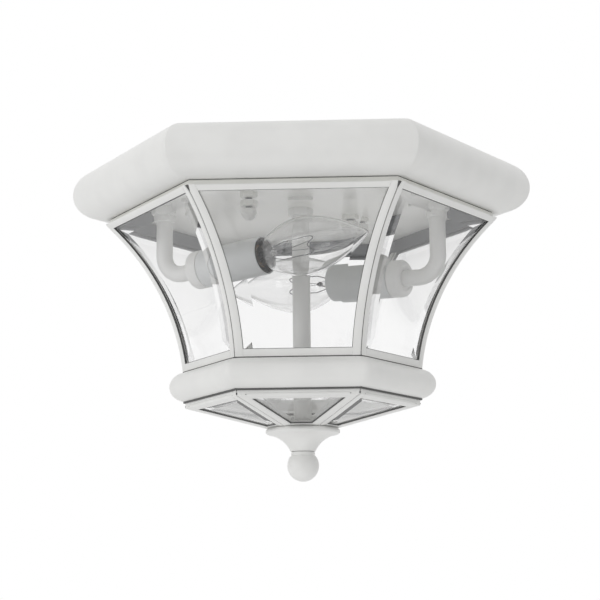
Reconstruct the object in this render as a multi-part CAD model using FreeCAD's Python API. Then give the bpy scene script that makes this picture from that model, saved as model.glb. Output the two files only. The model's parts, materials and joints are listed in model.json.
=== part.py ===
"""Hexagonal outdoor ceiling lantern with two candle lights, modelled in millimetres.

The origin is the centre of the ceiling plane, +Z points up, and the light hangs below it.
A flat side of the hexagon faces -Y, and its corners point along +X and -X.
"""
import FreeCAD, Part
import math
import os

# Shape of the plan
SIDES = 6
HALF_SIDE_ANGLE = 180.0 / SIDES
FIRST_SIDE_AZIMUTH = -90.0
SIDE_NAMES = ("front", "front_right", "back_right", "back", "back_left", "front_left")
LIGHT_NAMES = ("left", "right")

# Working sizes: how far a cut runs past its target, and the gap between parts that only touch
overrun = 5.0
seat_gap = 0.2
running_clearance = 0.05

# Middle of a quarter arc along each of its two axes, as a share of the radius
diagonal_share = math.sqrt(0.5)

# Canopy pan: a pressed shell with a half-round edge, open at the top
pan_roll_radius = 14.75
pan_roll_apothem = 101.05
pan_sheet = 1.2
pan_rim_width = 12.0
pan_return_apothem = 97.2
pan_ledge_margin = 14.5
plate_recess = 4.8

# Plate that closes the pan from below
plate_sheet = 0.8
plate_hole_clearance = 0.3
plate_screw_setback = 14.2
plate_screw_shift = 5.0
plate_screw_radius = 1.45
plate_screw_head_radius = 2.7
plate_screw_head_height = 1.6
plate_screw_length = 7.0

# Straps against the ceiling
strap_sheet = 1.5
strap_width = 22.0
box_strap_length = 108.0
box_slot_spacing = 88.9
box_slot_width = 5.0
box_slot_length = 11.0
fixture_strap_length = 88.0
fixture_strap_azimuth = 34.5
strap_eyelet_radius = 6.5
strap_eyelet_wall = 1.0
strap_eyelet_flange = 1.5
ground_screw_reach = 18.0
ground_screw_radius = 2.1
ground_screw_head_radius = 4.6
ground_screw_head_height = 2.0

# Studs that carry the canopy, with their nuts under the plate
stud_spacing = 69.85
stud_radius = 2.08
stud_top_stand = 0.5
stud_nut_flats = 8.73
stud_nut_height = 2.7
stud_thread_shown = 1.1
acorn_flats = 7.9
acorn_hex_height = 3.0
acorn_dome_height = 3.9

# Centre rod, a pipe that carries the glass cage
rod_radius = 5.145
rod_bore_radius = 3.4
rod_above_plate = 11.0
rod_nut_flats = 12.7
rod_nut_height = 4.4
rod_washer_radius = 9.5
rod_washer_sheet = 1.2

# Arms
arm_reach = 78.2
arm_plan_angle = 30.5
arm_rise_angles = (4.6, 2.5)
arm_drops = (39.6, 41.2)
arm_radius = 4.76
arm_bore_radius = 3.7
arm_bend_radius = 12.5
arm_above_plate = 9.0
arm_collar_radius = 6.6
arm_collar_height = 3.0
arm_nut_flats = 11.1
arm_nut_height = 3.6
arm_top_nut_height = 3.2

# Candle holder: cup, sleeve and socket, measured along the candle's axis
cup_setback = 21.5
cup_depth = 8.0
cup_edge_radius = 3.0
cup_wall = 1.2
cup_recess_radius = 7.0
cup_recess_depth = 0.8
sleeve_radius = 11.1
sleeve_wall = 0.8
sleeve_length = 39.8
socket_recess = 3.0
socket_radius = 9.6
socket_length = 29.0
socket_bore_depth = 22.5
socket_neck_radius = 6.4
socket_thread_depth = 4.0
shell_inner_radius = 6.0
shell_wall = 0.4
shell_length = 18.5
contact_radius = 3.0
contact_sheet = 0.5
lead_radius = 1.1
lead_spread = 1.35
lead_bend_radius = 7.0
lead_tail = 24.0

# Bulb
bulb_base_length = 17.0
bulb_base_wall = 0.35
bulb_tip_length = 3.4
bulb_tip_radius = 2.4
bulb_neck_radius = 5.4
bulb_max_radius = 16.6
bulb_rise = 28.0
bulb_rise_middle_share = 0.72
bulb_taper = 41.5
bulb_taper_middle_share = 0.72
bulb_nose_radius = 3.0
bulb_wall = 0.6
bulb_seat = 0.3
stem_radius = 3.2
stem_length = 14.0
stem_head_radius = 1.6
filament_wire_radius = 0.25
filament_half_width = 5.3
filament_lead_length = 21.0

# Glass cage, upper part: six bent panes in channel frames
cage_gap = 3.2
cage_top_apothem = 99.4
cage_bottom_apothem = 60.0
cage_height = 87.4
panel_bend_radius = 150.0
frame_depth = 3.6
frame_face = 4.1
frame_seam = 0.5
glass_sheet = 2.6
glass_bite = 2.2
glass_clearance = 0.1
ring_sheet = 1.0
ring_apothem = 95.0
ring_flange_width = 2.4

# Half-round band under the panes
band_roll_radius = 8.4
band_roll_apothem = 58.7
band_sheet = 1.2
band_flange_width = 5.5

# Lower shallow pyramid
pyramid_gap = 0.4
pyramid_apothem = 58.4
pyramid_hub_apothem = 17.75
pyramid_drop = 12.4
lower_frame_depth = 3.6
lower_frame_face = 4.4
lower_glass_sheet = 2.2
hub_bore_clearance = 0.5

# Bell cap and ball finial
cap_radius = 21.3
cap_lip_radius = 1.5
cap_height = 12.9
cap_neck_radius = 7.0
cap_curve_sag = 2.0
ball_radius = 9.08
ball_collar_radius = 6.8
ball_collar_height = 2.2
ball_centre_drop = 7.8
finial_bore_depth = 10.2
rod_end_clearance = 0.6

# Heights that follow from the sizes above
pan_bottom_z = -2 * pan_roll_radius
plate_top_z = pan_bottom_z + plate_recess + plate_sheet
plate_bottom_z = plate_top_z - plate_sheet
ledge_top_z = plate_top_z + pan_sheet
cage_top_z = pan_bottom_z - cage_gap
cage_bottom_z = cage_top_z - cage_height
band_top_z = cage_bottom_z - frame_seam
band_bottom_z = band_top_z - 2 * band_roll_radius
pyramid_top_z = band_bottom_z - pyramid_gap
pyramid_bottom_z = pyramid_top_z - lower_frame_depth - pyramid_drop
cap_top_z = pyramid_bottom_z - seat_gap
cap_bottom_z = cap_top_z - cap_height
finial_top_z = cap_bottom_z - seat_gap
ball_centre_z = finial_top_z - ball_centre_drop
rod_top_z = plate_top_z + rod_above_plate
rod_bottom_z = finial_top_z - finial_bore_depth + rod_end_clearance
pan_inner_apothem = pan_return_apothem - pan_sheet
plate_screw_reach = arm_reach - plate_screw_setback
mouth_run = cup_setback + cup_depth + sleeve_length
socket_rim_run = mouth_run - socket_recess
socket_back_run = socket_rim_run - socket_length
plan_reach = 2 * (pan_roll_apothem + pan_roll_radius)

Y_AXIS = FreeCAD.Vector(0, 1, 0)
Z_AXIS = FreeCAD.Vector(0, 0, 1)
ORIGIN = FreeCAD.Vector(0, 0, 0)


def tan_deg(angle):
    return math.tan(math.radians(angle))


def turned(shape, azimuth):
    """Copy of a shape, turned about the vertical axis through the origin."""
    copy = shape.copy()
    copy.rotate(ORIGIN, Z_AXIS, azimuth)
    return copy


def upright(radius, low, high, x=0.0, y=0.0):
    """Cylinder about a vertical axis between two heights."""
    return Part.makeCylinder(radius, high - low, FreeCAD.Vector(x, y, low), Z_AXIS)


def tube(outer, inner, low, high):
    bore = upright(inner, low - overrun, high + overrun)
    return upright(outer, low, high).cut(bore)


def outline_face(points):
    """Flat face in the XZ plane; a point given as a pair of pairs is an arc's middle and end."""
    edges = []
    here = FreeCAD.Vector(points[0][0], 0, points[0][1])
    first = here
    for point in points[1:]:
        if isinstance(point[0], tuple):
            middle = FreeCAD.Vector(point[0][0], 0, point[0][1])
            end = FreeCAD.Vector(point[1][0], 0, point[1][1])
            edges.append(Part.Arc(here, middle, end).toShape())
        else:
            end = FreeCAD.Vector(point[0], 0, point[1])
            edges.append(Part.LineSegment(here, end).toShape())
        here = end
    edges.append(Part.LineSegment(here, first).toShape())
    return Part.Face(Part.Wire(edges))


def spun(points):
    """Solid of revolution about the vertical axis of an outline given as radius and height."""
    return outline_face(points).revolve(ORIGIN, Z_AXIS, 360)


def corner_reach(apothem):
    """Distance from a hexagon's centre to its corners."""
    return apothem / math.cos(math.radians(HALF_SIDE_ANGLE))


def hexagon_slab(apothem, low, high):
    """Hexagonal prism with corners along +X and -X."""
    corner = corner_reach(apothem)
    angles = [math.radians(2 * HALF_SIDE_ANGLE * k) for k in range(SIDES + 1)]
    ring = [FreeCAD.Vector(corner * math.cos(angle), corner * math.sin(angle), low) for angle in angles]
    return Part.Face(Part.makePolygon(ring)).extrude(Z_AXIS * (high - low))


def hex_nut(flats, low, high, bore_radius):
    """Hexagonal nut about the vertical axis, with its corners chamfered on the outer end."""
    prism = hexagon_slab(flats / 2, low, high)
    corner = corner_reach(flats / 2)
    chamfer = corner - flats / 2
    cone = Part.makeCone(flats / 2, corner, chamfer, FreeCAD.Vector(0, 0, low), Z_AXIS)
    body = cone.fuse(upright(corner, low + chamfer, high))
    return prism.common(body).cut(upright(bore_radius, low - overrun, high + overrun))


def wedge(setback):
    """Tall prism of one side's sector about +X, set back from both of its corner planes."""
    apex = setback / math.sin(math.radians(HALF_SIDE_ANGLE))
    half = (plan_reach - apex) * tan_deg(HALF_SIDE_ANGLE)
    low = finial_top_z
    corners = [FreeCAD.Vector(apex, 0, low), FreeCAD.Vector(plan_reach, half, low),
               FreeCAD.Vector(plan_reach, -half, low), FreeCAD.Vector(apex, 0, low)]
    return Part.Face(Part.makePolygon(corners)).extrude(Z_AXIS * (overrun - low))


def long_bar(face):
    """Bar along Y whose section is a face in the XZ plane."""
    bar = face.extrude(Y_AXIS * (2 * plan_reach))
    bar.translate(Y_AXIS * -plan_reach)
    return bar


def side_bar(face):
    """One mitred side of a hexagonal ring whose section is a face in the XZ plane."""
    return long_bar(face).common(wedge(0.0))


def hexagon_ring(face):
    """Closed hexagonal ring with mitred corners."""
    bar = side_bar(face)
    bars = [turned(bar, side_azimuth(side)) for side in range(SIDES)]
    return bars[0].multiFuse(bars[1:]).removeSplitter()


def layer(low, high):
    """Wide flat block between two heights."""
    corner = FreeCAD.Vector(-plan_reach, -plan_reach, low)
    return Part.makeBox(2 * plan_reach, 2 * plan_reach, high - low, corner)


def side_azimuth(side):
    """Direction of one side's middle, from +X."""
    return FIRST_SIDE_AZIMUTH + 2 * HALF_SIDE_ANGLE * side


def stud_places():
    """Plan places of the two canopy studs."""
    angle = math.radians(fixture_strap_azimuth)
    half = stud_spacing / 2
    return [(side * half * math.cos(angle), side * half * math.sin(angle)) for side in (-1, 1)]


def plate_screw_places():
    return [(side * plate_screw_reach, -side * plate_screw_shift) for side in (-1, 1)]


def arm_feet():
    """Plan places of the left and the right arm."""
    return [(-arm_reach, 0.0), (arm_reach, 0.0)]


def at_places(shape, places):
    """Copies of a shape that stands on the vertical axis, moved to each plan place."""
    copies = []
    for x, y in places:
        copy = shape.copy()
        copy.translate(FreeCAD.Vector(x, y, 0))
        copies.append(copy)
    return copies


def drilled(shape, radius, places, low, high):
    for x, y in places:
        shape = shape.cut(upright(radius, low - overrun, high + overrun, x, y))
    return shape


# Canopy

def canopy_pan():
    """Pressed pan: top rim, half-round edge, return wall and an inner ledge for the plate."""
    outer = pan_roll_apothem + pan_roll_radius
    inner = outer - pan_sheet
    middle_z = -pan_roll_radius
    rim_inner = pan_roll_apothem - pan_rim_width
    ledge_inner = (arm_reach - pan_ledge_margin) * math.cos(math.radians(HALF_SIDE_ANGLE))
    face = outline_face([
        (rim_inner, 0.0), (pan_roll_apothem, 0.0),
        ((outer, middle_z), (pan_roll_apothem, pan_bottom_z)),
        (pan_inner_apothem, pan_bottom_z), (pan_inner_apothem, plate_top_z),
        (ledge_inner, plate_top_z), (ledge_inner, ledge_top_z),
        (pan_return_apothem, ledge_top_z), (pan_return_apothem, pan_bottom_z + pan_sheet),
        (pan_roll_apothem, pan_bottom_z + pan_sheet),
        ((inner, middle_z), (pan_roll_apothem, -pan_sheet)),
        (rim_inner, -pan_sheet),
    ])
    pan = hexagon_ring(face)
    pan = drilled(pan, arm_radius + plate_hole_clearance, arm_feet(), plate_top_z, ledge_top_z)
    return drilled(pan, plate_screw_radius + running_clearance, plate_screw_places(),
                   plate_top_z, ledge_top_z)


def canopy_plate():
    plate = hexagon_slab(pan_inner_apothem, plate_bottom_z, plate_top_z)
    low, high = plate_bottom_z, plate_top_z
    plate = drilled(plate, rod_radius + plate_hole_clearance, [(0.0, 0.0)], low, high)
    plate = drilled(plate, arm_radius + plate_hole_clearance, arm_feet(), low, high)
    plate = drilled(plate, stud_radius + plate_hole_clearance, stud_places(), low, high)
    return drilled(plate, plate_screw_radius + running_clearance, plate_screw_places(), low, high)


def plate_screws():
    """Two small screws that hold the plate up against the pan's ledge."""
    head_low = plate_bottom_z - plate_screw_head_height
    shank = upright(plate_screw_radius, plate_bottom_z - plate_screw_head_height / 2,
                    plate_bottom_z + plate_screw_length)
    dome = upright(plate_screw_head_radius, head_low, plate_bottom_z)
    edges = [edge for edge in dome.Edges if abs(edge.BoundBox.ZMax - head_low) < running_clearance]
    dome = dome.makeFillet(plate_screw_head_height / 2, edges)
    return at_places(dome.fuse(shank), plate_screw_places())


def strap_blank(length, low):
    """Flat bar along X with rounded ends and a centre hole for the eyelet."""
    half = length / 2 - strap_width / 2
    bar = Part.makeBox(2 * half, strap_width, strap_sheet, FreeCAD.Vector(-half, -strap_width / 2, low))
    for x in (-half, half):
        bar = bar.fuse(upright(strap_width / 2, low, low + strap_sheet, x))
    bar = bar.removeSplitter()
    return drilled(bar, strap_eyelet_radius, [(0.0, 0.0)], low, low + strap_sheet)


def box_strap():
    """Strap that is screwed to the outlet box through two slots."""
    low = -strap_sheet
    strap = strap_blank(box_strap_length, low)
    half_run = (box_slot_length - box_slot_width) / 2
    for side in (-1, 1):
        centre = side * box_slot_spacing / 2
        slot = Part.makeBox(2 * half_run, box_slot_width, strap_sheet + 2 * overrun,
                            FreeCAD.Vector(centre - half_run, -box_slot_width / 2, low - overrun))
        for x in (centre - half_run, centre + half_run):
            slot = slot.fuse(upright(box_slot_width / 2, low - overrun, overrun, x))
        strap = strap.cut(slot)
    return drilled(strap, ground_screw_radius, [(-ground_screw_reach, 0.0)], low, 0.0)


def fixture_strap():
    """Strap under the box strap that carries the two studs."""
    low = -2 * strap_sheet
    strap = turned(strap_blank(fixture_strap_length, low), fixture_strap_azimuth)
    strap = drilled(strap, stud_radius, stud_places(), low, -strap_sheet)
    clearance = ground_screw_radius + plate_hole_clearance
    return drilled(strap, clearance, [(-ground_screw_reach, 0.0)], low, -strap_sheet)


def strap_eyelet():
    """Hollow rivet that joins the two straps at their centre."""
    low = -2 * strap_sheet
    bore = strap_eyelet_radius - strap_eyelet_wall
    flange = strap_eyelet_radius + strap_eyelet_flange
    barrel = upright(strap_eyelet_radius, low - strap_eyelet_wall, 0.0)
    barrel = barrel.fuse(upright(flange, low - strap_eyelet_wall, low))
    return barrel.cut(upright(bore, low - overrun, overrun))


def ground_screw():
    low = -2 * strap_sheet - ground_screw_head_height
    shank = upright(ground_screw_radius, low, 0.0, -ground_screw_reach)
    head = upright(ground_screw_head_radius, low, low + ground_screw_head_height, -ground_screw_reach)
    slot_width = ground_screw_radius / 2
    slot = Part.makeBox(2 * ground_screw_head_radius, slot_width, ground_screw_head_height / 2,
                        FreeCAD.Vector(-ground_screw_reach - ground_screw_head_radius,
                                       -slot_width / 2, low))
    return head.fuse(shank).cut(slot)


def canopy_studs():
    top = -strap_sheet - stud_top_stand
    bottom = plate_bottom_z - stud_nut_height - stud_thread_shown - acorn_hex_height
    return at_places(upright(stud_radius, bottom, top), stud_places())


def stud_nuts():
    high = plate_bottom_z
    return at_places(hex_nut(stud_nut_flats, high - stud_nut_height, high, stud_radius), stud_places())


def acorn_nuts():
    """Domed nuts on the ends of the studs."""
    high = plate_bottom_z - stud_nut_height - stud_thread_shown
    middle = high - acorn_hex_height
    dome_radius = acorn_flats / 2
    half_way = (dome_radius * diagonal_share, middle - acorn_dome_height * diagonal_share)
    dome = spun([(0.0, middle - acorn_dome_height), (half_way, (dome_radius, middle)), (0.0, middle)])
    nut = hexagon_slab(dome_radius, middle, high).fuse(dome)
    return at_places(nut.cut(upright(stud_radius, middle, high)), stud_places())


def centre_rod():
    return tube(rod_radius, rod_bore_radius, rod_bottom_z, rod_top_z)


def rod_nuts():
    """Nuts that clamp the rod to the plate from both sides, over a washer on top."""
    above = plate_top_z + rod_washer_sheet
    return [hex_nut(rod_nut_flats, plate_bottom_z - rod_nut_height, plate_bottom_z, rod_radius),
            hex_nut(rod_nut_flats, above, above + rod_nut_height, rod_radius)]


def rod_washer():
    return tube(rod_washer_radius, rod_radius, plate_top_z, plate_top_z + rod_washer_sheet)


# Arms and candle holders

def light_frame(index):
    """Placement that takes +Z at the origin to a candle's axis, and its arm's foot and knee height."""
    x, y = arm_feet()[index]
    knee_z = plate_bottom_z - arm_drops[index]
    azimuth = -arm_plan_angle if index == 0 else 180.0 - arm_plan_angle
    swing = FreeCAD.Rotation(Z_AXIS, azimuth)
    lean = FreeCAD.Rotation(Y_AXIS, 90.0 - arm_rise_angles[index])
    return FreeCAD.Placement(FreeCAD.Vector(x, y, knee_z), swing.multiply(lean))


def on_candle(shape, index):
    """Copy of a shape built along +Z, placed on a candle's axis."""
    copy = shape.copy()
    copy.transformShape(light_frame(index).toMatrix())
    return copy


def arm_path(index, end_run, top_z, tail=0.0):
    """Path of an arm or of a wire in it: down, round the bend and out to the candle holder."""
    frame = light_frame(index)
    foot = frame.Base
    out = frame.Rotation.multVec(Z_AXIS)
    level = FreeCAD.Vector(out.x, out.y, 0.0).normalize()
    rise = math.radians(arm_rise_angles[index])
    lift = arm_bend_radius * (math.cos(rise) + (1 + math.sin(rise)) * math.tan(rise))
    bend_top = foot + Z_AXIS * lift
    centre = bend_top + level * arm_bend_radius
    half = (math.pi / 2 + rise) / 2
    elbow = level * math.cos(half) + Z_AXIS * math.sin(half)
    middle = centre - elbow * arm_bend_radius
    toe = level * math.sin(rise) - Z_AXIS * math.cos(rise)
    bend_end = centre + toe * arm_bend_radius
    end = foot + out * end_run
    top = FreeCAD.Vector(foot.x, foot.y, top_z)
    edges = []
    start, direction = top, Z_AXIS * -1
    if tail:
        turn = top + level * lead_bend_radius
        corner = turn + Z_AXIS * lead_bend_radius
        start = corner + level * tail
        direction = level * -1
        knuckle = turn + (Z_AXIS - level).normalize() * lead_bend_radius
        edges.append(Part.LineSegment(start, corner).toShape())
        edges.append(Part.Arc(corner, knuckle, top).toShape())
    edges.append(Part.LineSegment(top, bend_top).toShape())
    edges.append(Part.Arc(bend_top, middle, bend_end).toShape())
    edges.append(Part.LineSegment(bend_end, end).toShape())
    side = level.cross(Z_AXIS)
    return Part.Wire(edges), start, direction, side


def swept(index, radius, end_run, top_z, tail=0.0, shift=0.0):
    """Round bar along an arm's path, moved sideways by a shift."""
    path, start, direction, side = arm_path(index, end_run, top_z, tail)
    section = Part.Wire(Part.makeCircle(radius, start, direction))
    bar = path.makePipeShell([section], True, False)
    bar.translate(side * shift)
    return bar


def arm(index):
    end_run = cup_setback + cup_recess_depth + cup_wall + socket_thread_depth
    top_z = plate_top_z + arm_above_plate
    outer = swept(index, arm_radius, end_run, top_z)
    return outer.cut(swept(index, arm_bore_radius, end_run + overrun, top_z + overrun))


def arm_collars():
    """Round seats of the arms under the plate."""
    low = plate_bottom_z - arm_collar_height
    return at_places(tube(arm_collar_radius, arm_radius, low, plate_bottom_z), arm_feet())


def arm_nuts():
    """Hexagonal nuts under the collars and above the pan's ledge."""
    high = plate_bottom_z - arm_collar_height
    lower = hex_nut(arm_nut_flats, high - arm_nut_height, high, arm_radius)
    upper = hex_nut(arm_nut_flats, ledge_top_z, ledge_top_z + arm_top_nut_height, arm_radius)
    return at_places(lower, arm_feet()) + at_places(upper, arm_feet())


def socket_cup(index):
    """Round cup that joins an arm to its candle sleeve."""
    back = cup_setback
    front = back + cup_depth
    edge = cup_edge_radius
    diagonal = edge * diagonal_share
    floor = back + cup_recess_depth + cup_wall
    inside = sleeve_radius - cup_wall
    cup = spun([
        (arm_radius, back + cup_recess_depth), (cup_recess_radius, back + cup_recess_depth),
        (cup_recess_radius, back), (sleeve_radius - edge, back),
        ((sleeve_radius - edge + diagonal, back + edge - diagonal), (sleeve_radius, back + edge)),
        (sleeve_radius, front), (inside, front), (inside, back + edge + cup_wall),
        (sleeve_radius - edge, floor), (arm_radius, floor),
    ])
    return on_candle(cup, index)


def candle_sleeve(index):
    low = cup_setback + cup_depth
    return on_candle(tube(sleeve_radius, sleeve_radius - sleeve_wall, low, mouth_run), index)


def socket_body(index):
    """Insulating lamp holder with a hollow neck that screws on to the arm's end."""
    neck_low = cup_setback + cup_recess_depth + cup_wall
    body = upright(socket_radius, socket_back_run, socket_rim_run)
    body = body.fuse(upright(socket_neck_radius, neck_low, socket_back_run))
    bore_low = socket_rim_run - socket_bore_depth
    body = body.cut(upright(shell_inner_radius + shell_wall, bore_low, socket_rim_run + overrun))
    body = body.cut(upright(arm_bore_radius, neck_low - overrun, socket_back_run))
    return on_candle(body.cut(upright(arm_radius, neck_low - overrun, neck_low + socket_thread_depth)), index)


def socket_shells():
    low = socket_rim_run - shell_length
    shell = tube(shell_inner_radius + shell_wall, shell_inner_radius, low, socket_rim_run)
    return [on_candle(shell, index) for index in range(len(LIGHT_NAMES))]


def socket_contacts():
    """Springy centre contacts on the floors of the sockets."""
    low = socket_rim_run - socket_bore_depth
    high = socket_rim_run + bulb_seat - bulb_base_length - bulb_tip_length - seat_gap
    leaf = upright(contact_radius, low, low + contact_sheet)
    post = upright(contact_radius / 2, low, high)
    return [on_candle(leaf.fuse(post), index) for index in range(len(LIGHT_NAMES))]


def socket_leads(index):
    """Two insulated wires from a socket, back through the arm and out above the plate."""
    end_run = socket_back_run
    top_z = plate_top_z + arm_above_plate
    return [swept(index, lead_radius, end_run, top_z, lead_tail, shift)
            for shift in (-lead_spread, lead_spread)]


# Bulbs

def bulb_base_top():
    return socket_rim_run + bulb_seat


def bulb_glass(index):
    """Torpedo-shaped clear glass with a thin wall."""
    neck = bulb_base_top()
    widest = neck + bulb_rise
    tip = widest + bulb_taper

    def skin(inset):
        """Outline of the glass from its neck to its tip, drawn in by an inset."""
        neck_r = bulb_neck_radius - inset
        wide_r = bulb_max_radius - inset
        nose_r = bulb_nose_radius
        nose_low = tip - inset - nose_r
        rise_mid = (neck_r + (wide_r - neck_r) * bulb_rise_middle_share, neck + bulb_rise / 2)
        taper_mid = (nose_r + (wide_r - nose_r) * bulb_taper_middle_share, (widest + nose_low) / 2)
        nose_mid = (nose_r * diagonal_share, nose_low + nose_r * diagonal_share)
        return [(neck_r, neck), (rise_mid, (wide_r, widest)), (taper_mid, (nose_r, nose_low)),
                (nose_mid, (0.0, tip - inset))]

    outer = spun(skin(0.0) + [(0.0, neck)])
    inner = spun(skin(bulb_wall) + [(0.0, neck)])
    return on_candle(outer.cut(inner), index)


def bulb_base(index):
    """Screw base of a bulb as a plain thin cup, with its insulator and contact under it."""
    top = bulb_base_top()
    low = top - bulb_base_length
    radius = shell_inner_radius - running_clearance
    cup = upright(radius, low, top).cut(upright(radius - bulb_base_wall, low + bulb_base_wall, top + overrun))
    tip = Part.makeCone(bulb_tip_radius, radius - bulb_base_wall, bulb_tip_length,
                        FreeCAD.Vector(0, 0, low - bulb_tip_length), Z_AXIS)
    return [on_candle(cup, index), on_candle(tip, index)]


def bulb_stem(index):
    """Glass stem that stands in the bulb's neck."""
    low = bulb_base_top() - bulb_base_length + bulb_base_wall
    top = bulb_base_top() + stem_length
    stem = spun([(0.0, low), (stem_radius, low), (stem_radius, bulb_base_top()),
                 (stem_head_radius, top), (0.0, top)])
    return on_candle(stem, index)


def bulb_filament(index):
    """Wire bow that stands on the stem: two leads and the filament across their ends."""
    foot = bulb_base_top() + stem_length
    head = foot + filament_lead_length
    points = [FreeCAD.Vector(-stem_head_radius / 2, 0, foot), FreeCAD.Vector(-filament_half_width, 0, head),
              FreeCAD.Vector(filament_half_width, 0, head), FreeCAD.Vector(stem_head_radius / 2, 0, foot)]
    wire = None
    for start, end in zip(points, points[1:]):
        run = end - start
        piece = Part.makeCylinder(filament_wire_radius, run.Length, start, run)
        wire = piece if wire is None else wire.fuse(piece)
        wire = wire.fuse(Part.makeSphere(filament_wire_radius, end))
    wire = wire.common(layer(foot, head + overrun))
    return on_candle(wire, index)


# Glass cage

def bend_centre():
    """Centre of the panes' bend, outside the cage, from the ends of their outer curve."""
    top = FreeCAD.Vector(cage_top_apothem, 0, cage_top_z)
    bottom = FreeCAD.Vector(cage_bottom_apothem, 0, cage_bottom_z)
    half = (top - bottom).Length / 2
    along = (top - bottom).normalize()
    outward = FreeCAD.Vector(along.z, 0, -along.x)
    return (top + bottom) / 2 + outward * math.sqrt(panel_bend_radius ** 2 - half ** 2)


def flare_rise(width):
    """Height that a width measured along a pane takes up at its flared top."""
    return width * (bend_centre().x - cage_top_apothem) / panel_bend_radius


def bent_sheet(depth_low, depth_high, low, high):
    """Bent sheet of one side about +X, between two depths under the outer surface and two heights."""
    centre = bend_centre()
    start = FreeCAD.Vector(centre.x, -plan_reach, centre.z)
    thick = Part.makeCylinder(panel_bend_radius + depth_high, 2 * plan_reach, start, Y_AXIS)
    thin = Part.makeCylinder(panel_bend_radius + depth_low, 2 * plan_reach, start, Y_AXIS)
    window = Part.makeBox(centre.x, 2 * plan_reach, high - low, FreeCAD.Vector(0, -plan_reach, low))
    return thick.cut(thin).common(window)


def framed_sides(sheet, glass_slot, inner_window, face):
    """Two side channels, then the outer and the inner cross channel of one framed pane."""
    edge = frame_seam / 2
    sides = sheet.common(wedge(edge)).cut(wedge(edge + face)).cut(glass_slot)
    cross = sheet.common(wedge(edge + face)).cut(inner_window).cut(glass_slot)
    return sides.Solids + cross.Solids


def upper_glass_shape(grow):
    """Bent pane in its place about +X, or its slot in the frame when grown by the clearance."""
    margin = (frame_depth - glass_sheet) / 2
    inset = frame_seam / 2 + frame_face - glass_bite - grow
    hidden = frame_face - glass_bite - grow
    sheet = bent_sheet(margin - grow, frame_depth - margin + grow, cage_bottom_z + hidden,
                       cage_top_z - flare_rise(hidden))
    return sheet.common(wedge(inset))


def upper_frame(side):
    sheet = bent_sheet(0.0, frame_depth, cage_bottom_z, cage_top_z)
    window = layer(cage_bottom_z + frame_face, cage_top_z - flare_rise(frame_face))
    pieces = framed_sides(sheet, upper_glass_shape(glass_clearance), window, frame_face)
    return [turned(piece, side_azimuth(side)) for piece in pieces]


def upper_glass(side):
    return turned(upper_glass_shape(0.0), side_azimuth(side))


def cage_top_ring():
    """Angle ring on the top of the frames, which enters the pan and meets the plate."""
    wall_top = plate_bottom_z - seat_gap
    inner = ring_apothem - ring_sheet
    flange = ring_apothem + ring_flange_width
    face = outline_face([
        (inner, cage_top_z), (flange, cage_top_z), (flange, cage_top_z + ring_sheet),
        (ring_apothem, cage_top_z + ring_sheet), (ring_apothem, wall_top), (inner, wall_top),
    ])
    return hexagon_ring(face)


def cage_band():
    """Hexagonal half-round band between the upper panes and the pyramid."""
    outer = band_roll_apothem + band_roll_radius
    middle_z = (band_top_z + band_bottom_z) / 2
    inner_face = band_roll_apothem - band_flange_width
    face = outline_face([
        (inner_face, band_top_z), (band_roll_apothem, band_top_z),
        ((outer, middle_z), (band_roll_apothem, band_bottom_z)),
        (inner_face, band_bottom_z), (inner_face, band_bottom_z + band_sheet),
        (band_roll_apothem, band_bottom_z + band_sheet),
        ((outer - band_sheet, middle_z), (band_roll_apothem, band_top_z - band_sheet)),
        (inner_face, band_top_z - band_sheet),
    ])
    return hexagon_ring(face)


def pyramid_slab(inner, outer, low_depth, high_depth):
    """Sloping slab of one side about +X between two apothems and two depths under its top."""
    slope = pyramid_drop / (pyramid_apothem - pyramid_hub_apothem)

    def top_at(apothem):
        return pyramid_top_z - slope * (pyramid_apothem - apothem)

    face = outline_face([
        (inner, top_at(inner) - low_depth), (outer, top_at(outer) - low_depth),
        (outer, top_at(outer) - high_depth), (inner, top_at(inner) - high_depth),
    ])
    return long_bar(face)


def lower_glass_shape(grow):
    margin = (lower_frame_depth - lower_glass_sheet) / 2
    hidden = lower_frame_face - glass_bite - grow
    slab = pyramid_slab(pyramid_hub_apothem + hidden, pyramid_apothem - hidden,
                        margin - grow, lower_frame_depth - margin + grow)
    return slab.common(wedge(frame_seam / 2 + hidden))


def lower_frames():
    """Channel frames of all six lower panes."""
    sheet = pyramid_slab(pyramid_hub_apothem, pyramid_apothem, 0.0, lower_frame_depth)
    window = pyramid_slab(pyramid_hub_apothem + lower_frame_face, pyramid_apothem - lower_frame_face,
                          -overrun, lower_frame_depth + overrun)
    pieces = framed_sides(sheet, lower_glass_shape(glass_clearance), window, lower_frame_face)
    return [turned(piece, side_azimuth(side)) for side in range(SIDES) for piece in pieces]


def lower_glass(side):
    return turned(lower_glass_shape(0.0), side_azimuth(side))


def lower_hub():
    """Hexagonal hub on which the lower frames meet."""
    high = pyramid_bottom_z + lower_frame_depth
    hub = hexagon_slab(pyramid_hub_apothem, pyramid_bottom_z, high)
    return drilled(hub, rod_radius + hub_bore_clearance, [(0.0, 0.0)], pyramid_bottom_z, high)


# Bell cap and finial

def bell_cap():
    """Trumpet-shaped cap with a rounded lip, bored for the rod."""
    bore = rod_radius + hub_bore_clearance
    lip_z = cap_top_z - cap_lip_radius
    lip_low = cap_top_z - 2 * cap_lip_radius
    lip_inner = cap_radius - cap_lip_radius
    run_r = lip_inner - cap_neck_radius
    run_z = lip_low - cap_bottom_z
    length = math.hypot(run_r, run_z)
    middle = ((lip_inner + cap_neck_radius) / 2 - cap_curve_sag * run_z / length,
              (lip_low + cap_bottom_z) / 2 + cap_curve_sag * run_r / length)
    return spun([
        (bore, cap_top_z), (lip_inner, cap_top_z), ((cap_radius, lip_z), (lip_inner, lip_low)),
        (middle, (cap_neck_radius, cap_bottom_z)), (bore, cap_bottom_z),
    ])


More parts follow.
